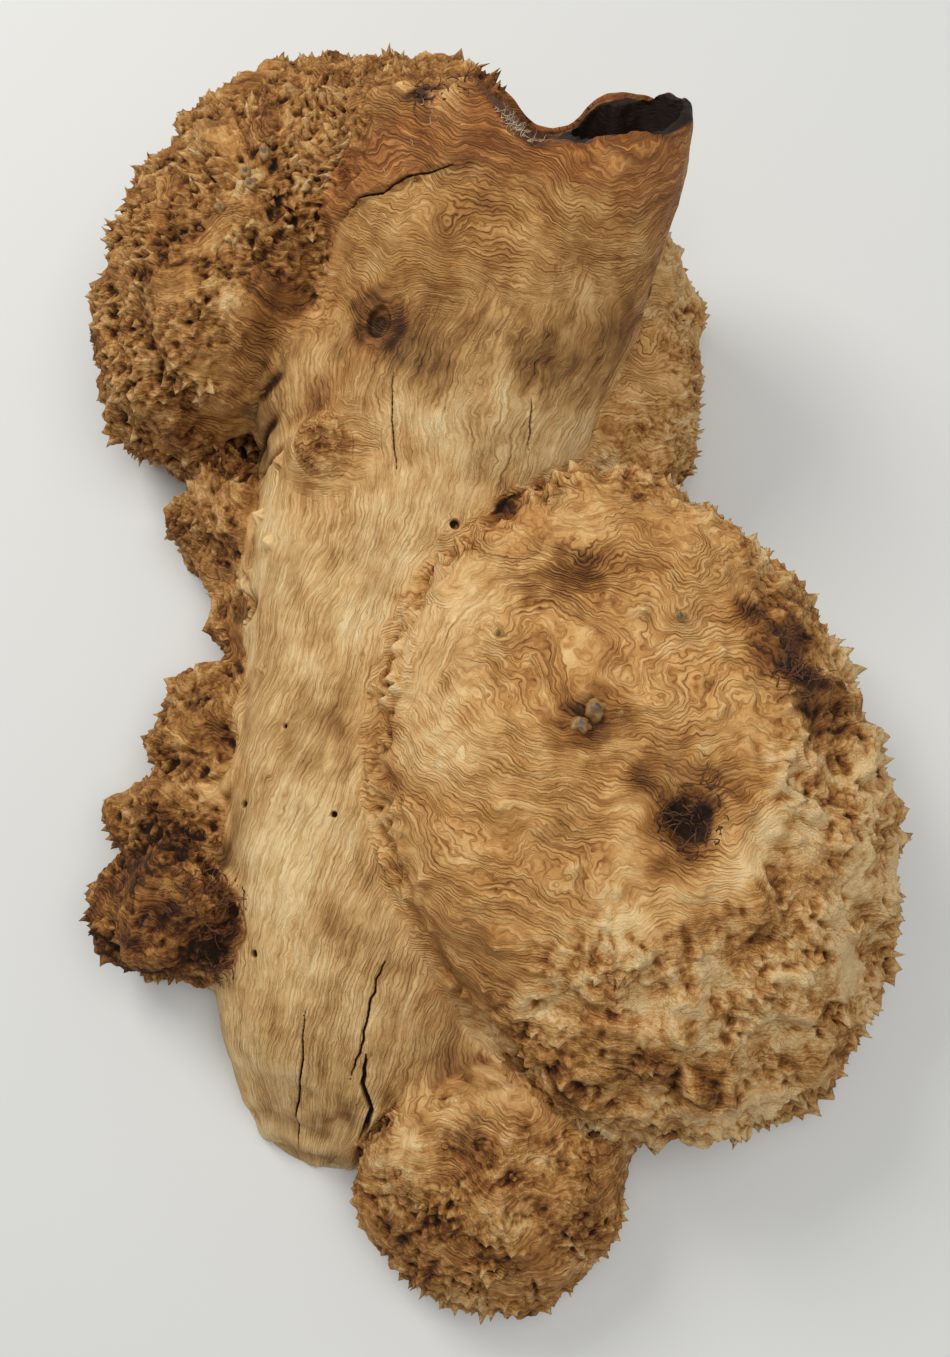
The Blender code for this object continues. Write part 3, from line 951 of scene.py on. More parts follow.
def finish_attributes(piece, places, normals, rough, charred=0.0):
    """Stores what the finish reads. places and normals are from before the points were raised."""
    mesh = piece.data
    raised = places_of(mesh)
    # How far each point stands out; the finish paints shade in clefts and highlights on tips from it.
    stands_out = np.sum((raised - softened(mesh, raised, SOFTENING)) * normals, axis=1)
    burnt = np.maximum(np.clip(spots_sum(places, CHARRED), 0, 1), in_hollow(places))
    sawn = (places[:, 2] < 0.15) & (normals_of(mesh)[:, 2] < -0.3)
    red = np.maximum(fold_band(places), 0.7 * on_break(places))
    store(mesh, "grain", (long_grain(places), curled_grain(places), curl_share(places)))
    store(mesh, "look", (tone_at(places) - 0.25 * on_break(places), stands_out, rough))
    store(mesh, "stain", (np.maximum(burnt, charred), red, sawn))


# %% [markdown]
# ## Crown, foot, shoulder and fringe
# These burls are alike: close spines over craggy ground, longest on the crown. Only the numbers
# differ, so they share one function. Spines grow longer at a burl's rim, which gives the cap its
# jagged outline, and come in clumps with barer ground between. The shoulder is bare nearly out to
# its rim, and the knob on the trunk is only a small cluster of points.

# %% Measures of the spiny burls
SPINY = {
    "crown_burl": dict(
        burls=("crown", "fold"), spacing=3.9, height=5.0, radius=3.3, lean=0.45, ground=3.8
    ),
    "foot_burl": dict(
        burls=("foot",), spacing=3.8, height=3.0, radius=3.0, lean=0.25, ground=3.0
    ),
    "shoulder_burl": dict(
        burls=("shoulder",), spacing=3.8, height=3.4, radius=3.0, lean=0.6, ground=2.0, start=0.8
    ),
    "fringe_burls": dict(
        burls=FRINGE, spacing=4.0, height=3.4, radius=3.2, lean=0.6, ground=3.8
    ),
    "knob_burl": dict(
        burls=("knob",), spacing=3.0, height=2.8, radius=2.3, lean=0.3, ground=1.6, cuts=3
    ),
}
# Ground that is calmer than the burl round it: X, Y, Z, radius and how calm.
CALM = (
    (-93, 130, 112, 18, 0.9),
    (-101, 115, 100, 13, 0.8),
    (-120, 96, 66, 20, 0.85),
    (-110, 118, 80, 20, 0.5),
    (-142, -141, 60, 22, 0.45),
    (-117, -9, 41, 14, 0.8),
)
LONGEST_SPINE = 1.5
SPINES_ABOVE = 3


# %% Where spines grow, and the ground under them
def spiny_share(name, places, burly, full, start):
    """1 where a burl is all spines, 0 where it is bare."""
    inside = step(0.4, 0.95, burly) * (1 - np.clip(spots_sum(places, CALM), 0, 0.95))
    if name == "knob_burl":
        inside *= step(19, 6, flat_distance(places, *KNOB) + 5 * noise_at(places, 8, 16))
    torn = step(4, 26, above_fold(places)) + (places[:, 0] < -70)
    inside *= np.where(level("fold", places) < 1.4, 0.35 + 0.65 * np.clip(torn, 0, 1), 1)
    inside *= step(start - 0.4, start, full + 0.2 * noise_at(places, 20, 13))
    return inside * (1 - 0.6 * step(0.12, 0.4, noise_at(places, 22, 14)))


def warped_by(places, reach, width):
    """The points pushed about by noise, which bends whatever is worked out from them."""
    push = np.stack([noise_at(places, width, shift) for shift in (1, 2, 3)], axis=1)
    return places + reach * push


def craggy_ground(places, burl, full, ground):
    warped = warped_by(places, 3, 10)
    drawn_out = step(0.35, 0.85, full) * flutes(warped, BURLS[burl]["middle"], 8, 22)
    base = ground * (1.6 * noise_at(warped, 23) + 0.55 * drawn_out + 0.4 * crests(warped, 8, 4))
    return base + (0.7 * noise_at(places, 3, 6) - 0.5 * ground * pores(places, 7, 8))


# %% Grow the spiny burls
def grow_spiny(name, burls, spacing, height, radius, lean, ground, start=0.0, cuts=1):
    piece = patch(name, cuts)
    rng = random.Random(name)
    places, normals = places_of(piece.data), normals_of(piece.data)
    burly = SHARES[name](places)
    full = np.min([fullness(BURLS[burl], places) for burl in burls], axis=0)
    inside = spiny_share(name, places, burly, full, start)
    base = craggy_ground(places, burls[0], full, ground)

    picks = scatter(places, (inside > 0.3) & (places[:, 2] > SPINES_ABOVE), spacing, rng)
    ways = leaning(places, normals, picks, burls, lean, rng)
    clump = np.clip(0.85 + 1.3 * noise_at(places[picks], 20, 2), 0.15, 1.7)
    sizes = np.array([0.25 + 1.25 * rng.random() ** 1.8 for _ in picks])
    sizes *= clump * inside[picks] * (1 + 0.2 * step(0.8, 0.95, full[picks]))
    sizes = np.minimum(sizes, LONGEST_SPINE)
    coarse = 1 + 0.7 * noise_at(places[picks], 34, 11)
    radii = [radius * size * rng.uniform(0.7, 1.3) for size in coarse]
    moves = raise_spines(places, picks, ways, height * sizes, radii)

    raised = places + moves + normals * (base * inside - edge_dip(burly))[:, None]
    raised[:, 2] = np.maximum(raised[:, 2], 0)
    put_places(piece.data, raised)
    finish_attributes(piece, places, normals, inside)
    close_rim(piece)
    print(name, len(picks), "spines")


for name, recipe in SPINY.items():
    grow_spiny(name, **recipe)

# %% [markdown]
# ## Domed burl
# The dome is calmer: wavy grain over a gently rolling top, bud eyes and rot pits, a few soft
# nipples, and rough ridged ground at its lower right. Teeth stand along its rim. They are long on
# the right, where they make the saw-tooth outline. On the left they lie over the trunk wood, down
# to about half way, and below that the dome runs into the trunk without a step.

# %% Where the dome is rough
# Round the dome, anticlockwise from +X in degrees: how long the teeth are, and how full the outline
# is where the rough edge band starts.
RIM_TURNS = (-180, -160, -135, -118, -100, -60, 0, 60, 85, 100, 115, 135, 160, 180)
RIM_TEETH = (0.8, 0.25, 0.1, 0.3, 0.6, 1.0, 1.0, 0.9, 0.8, 0.8, 1.2, 1.4, 1.5, 1.0)
RIM_STARTS = (0.98, 0.98, 0.95, 0.9, 0.82, 0.74, 0.72, 0.76, 0.82, 0.88, 0.93, 0.95, 0.95, 0.98)

rng = random.Random("dome")
dome = BURLS["dome"]
piece = patch("dome_burl")
places, normals = places_of(piece.data), normals_of(piece.data)
burly = SHARES["dome_burl"](places)
inside = step(0.42, 0.85, burly)
full = fullness(dome, places)
bearing = bearing_on_dome(places)
teeth_size = np.interp(bearing, RIM_TURNS, RIM_TEETH)
starts = np.interp(bearing, RIM_TURNS, RIM_STARTS) + 0.09 * noise_at(places, 20)
edge = step(starts - 0.03, starts + 0.07, full)
right_side = step(-100, -60, bearing) * step(120, 80, bearing)
terrain = step(0, 1, (places[:, 0] - 60 - (places[:, 1] + 110)) / 60 + 0.5 * noise_at(places, 20))
terrain *= step(0.3, 0.5, full)
rough = np.clip(edge * (0.2 + 0.8 * right_side) + terrain, 0, 1)
print("dome:", round(100 * float(rough.mean())), "% rough")

# %% The dome's ground
warped = warped_by(places, 5, 16)
base = 2.6 * noise_at(places, 26, 9) + 0.8 * noise_at(places, 9, 2)
base += rough * (7.0 * noise_at(warped, 30, 4) + 2.6 * flutes(warped, dome["middle"], 11, 30))
base += rough * terrain * 5.0 * noise_at(warped * (1, 1.4, 1), 15, 17)
fine = 1.8 * crests(warped, 9, 6) - 1.6 * pores(warped, 10, 5) + 0.8 * noise_at(places, 3.5, 8)
base += rough * fine

# %% Teeth along the dome's rim
TOOTH_SPACING, LEFT_TOOTH_SPACING = 4.8, 8.4

on_left = right_side < 0.5
rim_line = (full > 0.95) & (places[:, 2] > SPINES_ABOVE) & (inside > 0.4) & (teeth_size > 0.15)
teeth = scatter(places, rim_line & ~on_left, TOOTH_SPACING, rng)
tooth_sizes = [teeth_size[pick] * (1.0 + 7 * rng.random() ** 1.5) for pick in teeth]
tooth_radii = [rng.uniform(3.0, 5.0) for _ in teeth]
bare = noise_at(places, 19, 12) < 0.02
left_line = rim_line & on_left & (full < 1.04) & ~bare
flat_teeth = scatter(places, left_line, LEFT_TOOTH_SPACING, rng)
tooth_sizes += [teeth_size[pick] * (1.5 + 6.5 * rng.random()) for pick in flat_teeth]
tooth_radii += [rng.uniform(4.0, 8.5) for _ in flat_teeth]
teeth += flat_teeth
tooth_ways = leaning(places, normals, teeth, ("dome",), 1.1, rng, 0.4)

# %% Bumps and thorns on the dome
BUMP_SPACING, THORN_SPACING = 15, 4.4

bumps = scatter(places, (rough < 0.6) & (inside > 0.9), BUMP_SPACING, rng)
bump_ways = leaning(places, normals, bumps, ("dome",), 0.35, rng, 0.15)
bump_sizes = [rng.choice((0.8, 1.4, 2.2, 4.2)) for _ in bumps]
bump_radii = [rng.uniform(4.5, 8) for _ in bumps]
soft = raise_spines(places, bumps, bump_ways, bump_sizes, bump_radii, 1.7, 0.06, 0.5)

thorns = scatter(places, (rough > 0.3) & (inside > 0.9), THORN_SPACING, rng)
thorn_ways = leaning(places, normals, thorns, ("dome",), 0.9, rng, 0.5)
clump = np.clip(0.7 + 1.4 * noise_at(places[thorns], 26, 2), 0.1, 1.6)
thorn_sizes = [
    size * rough[pick] * (0.5 + 4.5 * rng.random() ** 2) for pick, size in zip(thorns, clump)
]
thorn_radii = [rng.uniform(2.6, 4.4) for _ in thorns]

# %% Raise the dome
moves = raise_spines(
    places,
    teeth + thorns,
    np.concatenate((tooth_ways, thorn_ways)),
    tooth_sizes + thorn_sizes,
    tooth_radii + thorn_radii,
)
raised = places + (moves + soft) * inside[:, None]
raised += normals * (base * inside - edge_dip(burly))[:, None]
raised[:, 2] = np.maximum(raised[:, 2], 0)
put_places(piece.data, raised)
finish_attributes(piece, places, normals, inside * rough)
close_rim(piece)
print("dome:", len(teeth), "teeth,", len(bumps), "bumps,", len(thorns), "thorns")

# %% [markdown]
# ## Trunk wood
# The smooth wood is the skin itself. It sinks a little below each burl's patch, and drying cracks,
# creases and borers' holes are pressed into it. A few thorns stand at its left edge. A crack is
# narrower than the skin's mesh, so the faces along it are split first.

# %% Where cracks, creases and holes lie
# Each line is a list of X and Y, after its half width and its depth.
CRACKS = (
    (0.6, 3.0, ((-81, -249), (-80, -230), (-76, -208), (-74, -187))),
    (0.6, 3.0, ((-39, -166), (-45, -183), (-49, -200), (-55, -217))),
    (1.3, 4.5, ((-47, -206), (-50, -219), (-46, -230), (-52, -244), (-50, -258))),
    (0.4, 2.2, ((-37, 93), (-38, 73), (-36, 52))),
    (0.4, 2.2, ((26, 81), (25, 62))),
    (0.6, 3.0, ((-13, -169), (-10, -179), (-6, -188))),
    (0.45, 2.0, ((-60, 163), (-50, 164), (-40, 161), (-30, 163), (-19, 162), (-8, 163))),
)
CREASES = (
    (3.2, 3.6, ((-137, 88), (-120, 94), (-102, 98), (-88, 106))),
    (2.8, 3.0, ((-130, 74), (-117, 84), (-90, 88))),
    (2.6, 2.4, ((-123, 60), (-106, 70), (-88, 75))),
    (4.0, 2.6, ((-41, -242), (-20, -227), (-2, -217), (35, -214))),
    (3.0, 1.6, ((-8, -72), (-14, -110), (6, -150))),
)
# Borers' holes: X, Y and radius. The knot: the same. Thorns: X, Y and height.
HOLES = ((-106, -96, 1.6), (-99, -163, 1.8), (-86, -63, 1.2), (-62, -104, 1.5), (-9, 28, 2.4))
KNOT = (-43, 115, 9)
LINES_ABOVE = 8
THORNS = ((-103, 43, 4.5), (-98, 27, 3.5), (-109, 18, 3.0), (-100, -32, 3.0), (-93, 66, 3.5))


# %% Lines on the wood
def wandering(points):
    """Points about every 3 mm along a line, with a small zigzag."""
    line = []
    for (x0, y0), (x1, y1) in zip(points, points[1:]):
        count = max(2, int(math.dist((x0, y0), (x1, y1)) / 3))
        for k in range(count):
            t = k / count
            zig = 1.3 * noise.noise(Vector((x0 + y0 + 9 * k, y0, 0)) / 7)
            line.append((x0 + (x1 - x0) * t + zig, y0 + (y1 - y0) * t))
    return np.array((*line, points[-1]))


def line_distance(places, line):
    """Distance in plan from each point to a line, and how far along it that is, 0 to 1."""
    flat = places[:, :2]
    best = np.full(len(flat), 1e9)
    where = np.zeros(len(flat))
    for index, (a, b) in enumerate(zip(line[:-1], line[1:])):
        t = np.clip((flat - a) @ (b - a) / ((b - a) @ (b - a)), 0, 1)
        away = np.linalg.norm(flat - a - t[:, None] * (b - a), axis=1)
        closer = away < best
        best[closer] = away[closer]
        where[closer] = (index + t[closer]) / (len(line) - 1)
    return best, where


CRACK_LINES = [(half, depth, wandering(points)) for half, depth, points in CRACKS]
CREASE_LINES = [(half, depth, wandering(points)) for half, depth, points in CREASES]
print(len(CRACK_LINES), "cracks,", len(CREASE_LINES), "creases")


# %% Split the faces along them
def near_detail(places):
    """Whether each point lies near a crack, a hole, a thorn or the knot, above the sawn edge."""
    near = flat_distance(places, *KNOT[:2]) < 1.8 * KNOT[2]
    for half, _, line in CRACK_LINES:
        near |= line_distance(places, line)[0] < 3 + half
    for x, y, radius in HOLES + THORNS:
        near |= flat_distance(places, x, y) < radius + 3
    return near & (places[:, 2] > LINES_ABOVE)


work = bmesh.new()
work.from_mesh(skin.data)
for _ in range(2):
    near = near_detail(np.array([vert.co for vert in work.verts]) / MM)
    edges = [edge for edge in work.edges if near[edge.verts[0].index] and near[edge.verts[1].index]]
    bmesh.ops.subdivide_edges(work, edges=edges, cuts=1, use_grid_fill=True)
    work.verts.index_update()
bmesh.ops.triangulate(work, faces=[face for face in work.faces if len(face.verts) > 4])
trunk = object_from(work, "trunk_wood")
PIECES["trunk_wood"] = trunk
bpy.data.objects.remove(skin)

# %% Cracks and creases
places, normals = places_of(trunk.data), normals_of(trunk.data)
covered = np.max([piece_share(places) for piece_share in SHARES.values()], axis=0)
sunk = DIP * np.clip(covered / 0.5 - 1, 0, 1)
facing_up = places[:, 2] > LINES_ABOVE
crack, pressed = np.zeros(len(places)), np.zeros(len(places))
for half, depth, line in CRACK_LINES:
    away, where = line_distance(places, line)
    width = half * np.sqrt(np.clip(4 * where * (1 - where), 0.02, 1))
    inside_crack = (1 - step(0.4, 1.3, away / width)) * facing_up
    crack = np.maximum(crack, inside_crack)
    pressed = np.maximum(pressed, depth * inside_crack)
for half, depth, line in CREASE_LINES:
    away, where = line_distance(places, line)
    taper = step(0, 0.2, where) * step(1, 0.8, where) * facing_up
    furrow, bank = np.exp(-((away / half) ** 2)), np.exp(-((away / half - 2) ** 2))
    pressed = pressed + depth * taper * (furrow - 0.35 * bank)

# %% Holes and the knot
for x, y, radius in HOLES:
    away = flat_distance(places, x, y) / radius
    inside_hole = (1 - step(0.6, 1.2, away)) * (places[:, 2] > 40)
    crack = np.maximum(crack, inside_hole)
    pressed = np.maximum(pressed, 3.5 * inside_hole)
knot_away = np.hypot((places[:, 0] - KNOT[0]) * 1.25, places[:, 1] - KNOT[1]) / KNOT[2]
collar, rings = np.exp(-((knot_away - 1) * 3) ** 2), np.cos(knot_away * 14) * (knot_away < 1)
knot = (1.6 * collar + 0.5 * rings) * facing_up

# %% The fold's raised edge, ripples and thorns
stands = 2.6 * step(-1.2, 1.2, above_fold(places)) * step(40, 16, above_fold(places))
stands *= step(-72, -60, places[:, 0]) * step(10, -8, places[:, 0]) * (places[:, 2] > 112)
ripple = 0.9 * noise_at(places * (1, 0.3, 1), 9) + 1.2 * noise_at(places, 22)
ripple += 0.4 * noise_at(places, 5)
ripple += 4.0 * noise_at(places, 13, 5) * step(-210, -240, places[:, 1])
lift = stands + knot + ripple * (places[:, 2] > 2)

THORN_RADIUS = 4.5
push_away = 1e3 * (places[:, 2] < 40)
rng = random.Random("thorns")
roots = [flat_distance(places, x, y + push_away).argmin() for x, y, _ in THORNS]
thorn_ways = leaning(places, normals, roots, ("bed",), 0.7, rng, 0.3)
thorn_heights = [height for *_, height in THORNS]
thorns = raise_spines(places, roots, thorn_ways, thorn_heights, [THORN_RADIUS] * len(roots))

# %% Raise the trunk
raised = places + thorns + normals * (lift - sunk - pressed)[:, None]
raised[:, 2] = np.where(places[:, 2] < 0.1, places[:, 2], np.maximum(raised[:, 2], 0))
put_places(trunk.data, raised)
finish_attributes(trunk, places, normals, step(0.4, 0.9, covered), crack)
print("trunk:", len(trunk.data.polygons), "faces")

# %% [markdown]
# ## Buds and fibres
# A few buds sit in the dome's eye and on the crown, grey and waxy with a blue-grey heart. Torn bark
# fibre is left in the rot pits and on the brown lump, and pale lint along the break. Both are small
# closed shapes laid on the finished skin.

# %% Buds
# X, Y and radius.
BUDS = (
    (51, -65, 5.2),
    (44, -72, 4.4),
    (88, -24, 3.0),
    (-104, 183, 3.4),
    (-107, 192, 2.8),
    (-98, 201, 3.2),
    (-118, 172, 2.6),
    (10, -32, 2.2),
)


def top_finder(*names):
    """Looks up the highest point near an X and Y on the named pieces."""
    spots = np.concatenate([places_of(PIECES[name].data) for name in names])

    def top(x, y, reach=2.5):
        near = spots[flat_distance(spots, x, y) < reach]
        return near[near[:, 2].argmax()]

    return top


top = top_finder("dome_burl", "crown_burl", "trunk_wood", "fringe_burls")
work = bmesh.new()
centres = []
for x, y, radius in BUDS:
    ground = top(x, y)[2]
    made = bmesh.ops.create_icosphere(work, subdivisions=3, radius=1)["verts"]
    for vert in made:
        way = vert.co.copy()
        lump = 1 + 0.5 * noise.noise(way * 1.6 + Vector((x, y, 0))) + 0.2 * noise.noise(way * 5)
        vert.co = Vector((x, y, ground - 0.55 * radius)) + way * lump * radius
        centres.append(max(0.0, way.z) ** 3 + 0.5 * noise.noise(way * 3))
        vert.co *= MM
buds = object_from(work, "buds")
store(buds.data, "heart", (centres, centres, centres))
PIECES["buds"] = buds

# %% Fibres and lint
# X, Y, spread, how many strands, their length and how far they stand up.
TUFTS = (
    (89, -112, 13, 70, 15, 0.25),
    (140, -44, 13, 50, 12, 0.3),
    (-120, -142, 16, 60, 13, 0.25),
    (-18, 192, 12, 30, 10, 0.4),
    (-116, -172, 7, 20, 9, 0.2),
)
LINT = ((18, 178, 8, 70, 7, 0.8), (-42, 162, 4, 14, 5, 0.5), (-30, 180, 12, 20, 6, 0.6))
# Steps along a strand, and where its three sides turn.
STEPS = 7
THIRDS = (0, 2.09, 4.19)


# %% Grow the strands
def strands(name, tufts, thick, rng):
    """A piece made of curled three-sided strands, each a closed shape that tapers."""
    work = bmesh.new()
    for x, y, spread, count, length, rise in tufts:
        for _ in range(count):
            turned, away = rng.uniform(0, 2 * math.pi), spread * rng.random() ** 0.5
            here = Vector(top(x + away * math.cos(turned), y + away * math.sin(turned), 3.5))
            heading = rng.gauss(0.5, 0.6)
            way = Vector((math.cos(heading), math.sin(heading), rise * rng.random())).normalized()
            ring_before = None
            for k in range(STEPS + 1):
                size = thick * (1 - 0.8 * k / STEPS)
                side = way.orthogonal().normalized()
                other = way.cross(side)
                corners = [
                    here + side * size * math.cos(a) + other * size * math.sin(a) for a in THIRDS
                ]
                ring = [work.verts.new(corner * MM) for corner in corners]
                if ring_before:
                    for i in range(3):
                        j = (i + 1) % 3
                        work.faces.new((ring_before[i], ring_before[j], ring[j], ring[i]))
                else:
                    work.faces.new(ring[::-1])
                ring_before = ring
                bend = Vector([rng.gauss(0, 0.45) for _ in range(3)]) - Vector((0, 0, 0.15))
                way = (way + bend).normalized()
                here = here + way * (length / STEPS * rng.uniform(0.7, 1.2))
                here.z = max(here.z, 1)
            work.faces.new(ring_before)
    piece = object_from(work, name)
    PIECES[name] = piece
    return piece


fibres = strands("bark_fibres", TUFTS, 0.55, random.Random("fibres"))
lint = strands("lint", LINT, 0.17, random.Random("lint"))
print("fibres:", len(fibres.data.polygons), "faces, lint:", len(lint.data.polygons))

# %% [markdown]
# ## Onto the frame
# Every piece is finished by now in the trunk's own measures. They move once, together, onto the
# frame's origin.

# %% Move, thin and smooth-shade
MOST_TRIANGLES = 192000


def triangles_of(mesh):
    return sum(len(face.vertices) - 2 for face in mesh.polygons)


for name, piece in PIECES.items():
    put_places(piece.data, places_of(piece.data) - CENTRE)
    count = triangles_of(piece.data)
    if count > MOST_TRIANGLES:
        add_modifier(piece, "DECIMATE", ratio=MOST_TRIANGLES / count)
    piece.data.shade_smooth()
    print(name, triangles_of(piece.data), "triangles")

# %% [markdown]
# ## The wood's finish
# One finish serves all the wood, so that it runs unbroken from patch to patch. It is dry, bare and
# dull. Its colour comes from one number, the tone, through one ramp from char to white straw. The
# regions set the tone, and streaks along the grain and stains move it. Painted shade darkens the
# clefts, painted highlights lighten the tips, and some regions and spots carry painted light and
# shade, so every mark stays in the wood's own range of colours.

# %% Shader sums


class Sum:
    """A shader socket that can stand in a Python sum."""

    def __init__(self, maker, socket):
        self.maker = maker
        self.socket = socket

    def math(self, operation, *others):
        inputs = dict(enumerate((self, *others)))
        return self.maker.node("ShaderNodeMath", {"operation": operation}, inputs)

    def __add__(self, other):
        return self.math("ADD", other)

    __radd__ = __add__

    def __mul__(self, other):
        return self.math("MULTIPLY", other)

    __rmul__ = __mul__

    def __sub__(self, other):
        return self.math("SUBTRACT", other)

    def __rsub__(self, other):
        return (self * -1) + other

    def rise(self, low, high):
        """0 at low, 1 at high, with a smooth rise between."""
        inputs = {"Value": self, "From Min": low, "From Max": high}
        return self.maker.node("ShaderNodeMapRange", {"interpolation_type": "SMOOTHSTEP"}, inputs)


# %% Finishes
class Finish:
    """A material and the one method that adds its nodes."""

    def __init__(self, name):
        self.material = bpy.data.materials.new(name)
        self.material.use_nodes = True
        self.tree = self.material.node_tree
        self.surface = self.tree.nodes["Principled BSDF"]

    def feed(self, socket, value):
        if isinstance(value, Sum):
            self.tree.links.new(value.socket, socket)
        else:
            socket.default_value = value

    def node(self, kind, settings=None, inputs=None, out=0):
        """Adds a node and gives its output, or all its outputs when out is None."""
        made = self.tree.nodes.new(kind)
        for key, value in (settings or {}).items():
            if key == "stops":
                for place, _ in value[2:]:
                    made.color_ramp.elements.new(place)
                for element, (place, colour) in zip(made.color_ramp.elements, value):
                    element.position = place
                    element.color = colour
            else:
                setattr(made, key, value)
        for key, value in (inputs or {}).items():
            self.feed(made.inputs[key], value)
        if out is None:
            return [Sum(self, output) for output in made.outputs]
        return Sum(self, made.outputs[out])

    def mix(self, factor, low, high, blend="MIX"):
        inputs = {0: factor, 6: low, 7: high}
        return self.node("ShaderNodeMix", {"data_type": "RGBA", "blend_type": blend}, inputs, 2)

    def attribute(self, name):
        vector = self.node("ShaderNodeAttribute", {"attribute_name": name}, out="Vector")
        return self.node("ShaderNodeSeparateXYZ", inputs={0: vector}, out=None)


def paint(red, green, blue):
    """A colour from its 0 to 255 screen values."""
    parts = [part / 255 for part in (red, green, blue)]
    return tuple(p / 12.92 if p <= 0.04045 else ((p + 0.055) / 1.055) ** 2.4 for p in parts) + (1,)


# %% Colours of the wood
# Tones and their colours, from char to straw.
WOOD_STOPS = (
    (0.0, paint(40, 23, 11)),
    (0.18, paint(74, 43, 19)),
    (0.36, paint(124, 80, 38)),
    (0.52, paint(158, 111, 60)),
    (0.68, paint(190, 144, 88)),
    (0.82, paint(209, 171, 118)),
    (1.0, paint(224, 196, 150)),
)
# The same tones where the wood is bleached to grey straw.
BLEACHED_STOPS = (
    (0.0, paint(44, 30, 18)),
    (0.18, paint(82, 56, 32)),
    (0.36, paint(130, 96, 56)),
    (0.52, paint(160, 124, 78)),
    (0.68, paint(188, 154, 106)),
    (0.82, paint(206, 177, 130)),
    (1.0, paint(224, 203, 163)),
)
RED_WOOD = paint(116, 70, 38)
REDDENING = paint(255, 214, 180)
TINT = paint(255, 249, 236)
CHAR = paint(34, 21, 12)
SAWN = paint(196, 146, 94)
KERF = paint(172, 122, 74)
GRAIN_PITCH = 2.3
CURLS_FINER = 1.35

# %% Patterns of the wood
wood = Finish("burl_wood")
spot = wood.node("ShaderNodeTexCoord", out="Object")
spot = wood.node("ShaderNodeVectorMath", {"operation": "SCALE"}, {0: spot, "Scale": 1 / MM})
spot_x, spot_y, _ = wood.node("ShaderNodeSeparateXYZ", inputs={0: spot}, out=None)


def cloud(width, detail=2.0, roughness=0.5, shift=0.0):
    """Noise from 0 to 1 whose patches are about as many millimetres wide as width."""
    shifts = {0: spot, 1: (shift, shift, shift)}
    moved = wood.node("ShaderNodeVectorMath", {"operation": "ADD"}, shifts)
    inputs = {"Vector": moved, "Scale": 1 / width, "Detail": detail, "Roughness": roughness}
    return wood.node("ShaderNodeTexNoise", {}, inputs)


def streaks(height, width, length, detail=3.0, shift=0.0):
    """Noise drawn out along the grain, in streaks about width by length millimetres."""
    where = {0: height * (1 / width), 1: spot_x * (1 / length) + shift, 2: spot_y * (1 / length)}
    inputs = {
        "Vector": wood.node("ShaderNodeCombineXYZ", inputs=where),
        "Scale": 1.0,
        "Detail": detail,
        "Roughness": 0.6,
    }
    return wood.node("ShaderNodeTexNoise", {}, inputs)


def lines(height, pitch):
    """Dark lines along the grain, as narrow as a quarter of their pitch."""
    return (height * (2 * math.pi / pitch)).math("SINE").rise(0.45, 1.0)


# %% Grain
long_height, curl_height, curl = wood.attribute("grain")
tone, stands_out, rough = wood.attribute("look")
charred, red, sawn = wood.attribute("stain")

wander = (cloud(8.0, 1.0) - 0.5) * 5.0 + (cloud(3.0, 0.0, shift=40.0) - 0.5) * 2.2
long_height = long_height + wander * 0.6
curl_height = curl_height * CURLS_FINER + wander
turned = (curl + (cloud(12.0) - 0.5) * 0.5).rise(0.35, 0.65)


def along_grain(make, *settings, **more):
    """The same marks on both grains, mixed by how curly the wood is."""
    straight = make(long_height, *settings, **more)
    return straight + (make(curl_height, *settings, **more) - straight) * turned


fine = along_grain(streaks, 0.9, 22.0, 4.0)
broad = along_grain(streaks, 4.0, 32.0, 4.0, shift=9.0)
edges = 1 - (along_grain(streaks, 2.0, 20.0, 2.0, shift=3.0) - 0.5).math("ABSOLUTE").rise(0.0, 0.04)
ripples = along_grain(lines, GRAIN_PITCH)
shown = cloud(24.0, 3.0, 0.6, 11.0).rise(0.3, 0.6)
ripples = ripples * shown * (0.6 + 0.4 * turned) * (1 - 0.6 * rough)

# %% Tone to colour
mottle = (cloud(58.0, 4.0, 0.6) - 0.5) * 0.5
mottle = mottle + (cloud(17.0, 4.0, 0.65, 23.0) - 0.5) * (0.6 + 0.9 * rough)
streak_tone = (fine - 0.5) * 0.7 + (broad - 0.5) * 0.45
# Painted shade in the clefts and painted highlights on the tips, from how far each point stands out
# of its surroundings.
painted_cleft_shade_and_tip_light = stands_out.rise(-2.4, 0.4) * 0.62 + stands_out.rise(0.0, 3.6) * 0.26 - 0.58
pale = tone + mottle + streak_tone + painted_cleft_shade_and_tip_light - ripples * 0.16 - edges * 0.12 * shown
pale = pale + (cloud(2.2, 2.0, 0.6, 5.0) - 0.5) * rough * 0.5
warm = wood.node("ShaderNodeValToRGB", {"stops": WOOD_STOPS}, {"Fac": pale})
bleached = wood.node("ShaderNodeValToRGB", {"stops": BLEACHED_STOPS}, {"Fac": pale})
bleach = (1 - curl) * 0.8 + cloud(30.0, 3.0, 0.6, 31.0).rise(0.54, 0.72) * 0.45
base = wood.mix(bleach.math("MINIMUM", 1.0), warm, bleached)
base = wood.mix(1.0, base, TINT, "MULTIPLY")

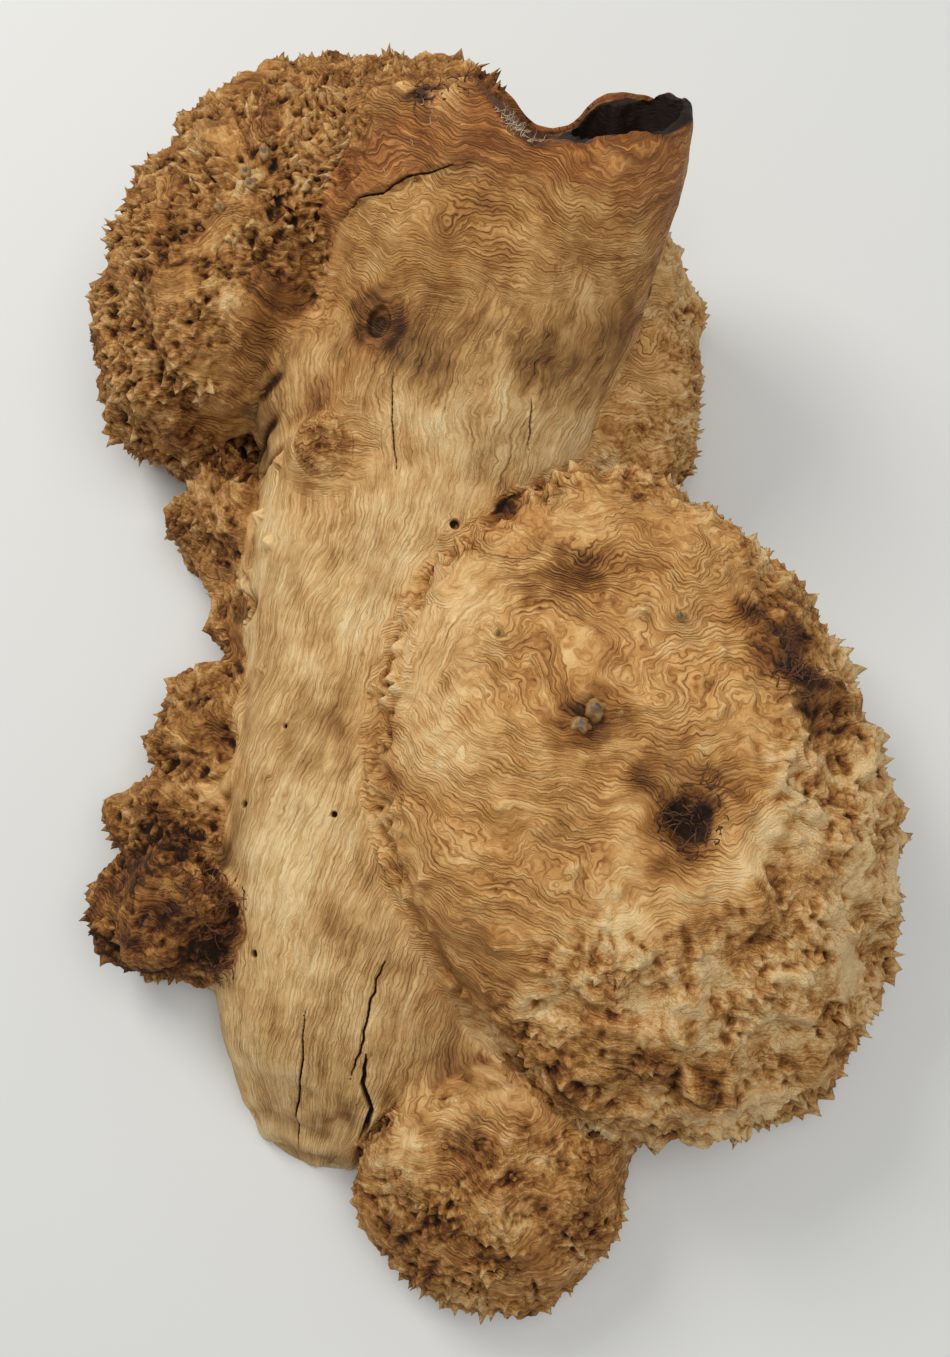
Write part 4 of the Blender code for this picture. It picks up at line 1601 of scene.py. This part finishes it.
# %% Red layer, saw marks and char
redder = wood.mix(1.0, base, REDDENING, "MULTIPLY")
redness = red + cloud(36.0, 3.0, 0.6, 57.0).rise(0.55, 0.7) * 0.5
base = wood.mix(redness.rise(0.0, 1.0) * 0.55, base, redder)
base = wood.mix(red * (fine + broad - 0.5).rise(0.75, 0.25) * 0.75, base, RED_WOOD)
kerf_bands = {"Vector": spot, "Scale": 0.25, "Distortion": 1.2}
kerf = wood.node("ShaderNodeTexWave", {"bands_direction": "DIAGONAL"}, kerf_bands)
base = wood.mix(sawn, base, wood.mix(kerf, SAWN, KERF))
blackened = charred + (cloud(3.0, 2.0, 0.6, 8.0) - 0.5) * 0.5 * charred
base = wood.mix(blackened.rise(0.1, 0.95), base, CHAR)

# %% Dullness and relief
dullness = 0.64 + cloud(10.0, 2.0, 0.5, 13.0) * 0.2 + rough * 0.06
height = (fine - 0.5) * 0.5 - ripples * 0.28 - edges * 0.16
height = height + (cloud(1.3, 3.0, 0.65, 19.0) - 0.5) * (0.3 + rough * 1.5) + sawn * kerf * 0.3
bump = wood.node("ShaderNodeBump", {}, {"Height": height, "Distance": MM, "Strength": 1.0})
wood.feed(wood.surface.inputs["Base Color"], base)
wood.feed(wood.surface.inputs["Roughness"], dullness)
wood.feed(wood.surface.inputs["Normal"], bump)
wood.surface.inputs["Specular IOR Level"].default_value = 0.2

# %% Buds, fibres, lint and floor
waxy = Finish("bud")
heart = waxy.attribute("heart")[0]
bud_colour = waxy.mix(heart.rise(0.5, 1.1), paint(150, 112, 62), paint(70, 60, 46))
waxy.feed(waxy.surface.inputs["Base Color"], bud_colour)
waxy.surface.inputs["Roughness"].default_value = 0.5


def plain(name, colour, roughness):
    made = Finish(name)
    made.surface.inputs["Base Color"].default_value = colour
    made.surface.inputs["Roughness"].default_value = roughness
    return made


FINISHES = {
    "buds": waxy,
    "bark_fibres": plain("bark_fibre", paint(92, 54, 26), 0.8),
    "lint": plain("lint", paint(206, 182, 146), 0.9),
}
floor.data.materials.append(plain("plain_floor", paint(212, 212, 209), 0.9).material)

# %% [markdown]
# ## Hand over
# Each piece takes its finish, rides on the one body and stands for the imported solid.

# %% Ride, replace and finish
for name, piece in PIECES.items():
    piece.data.materials.clear()
    piece.data.materials.append(FINISHES.get(name, wood).material)
    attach(piece, "root")
    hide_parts("burl_cap")
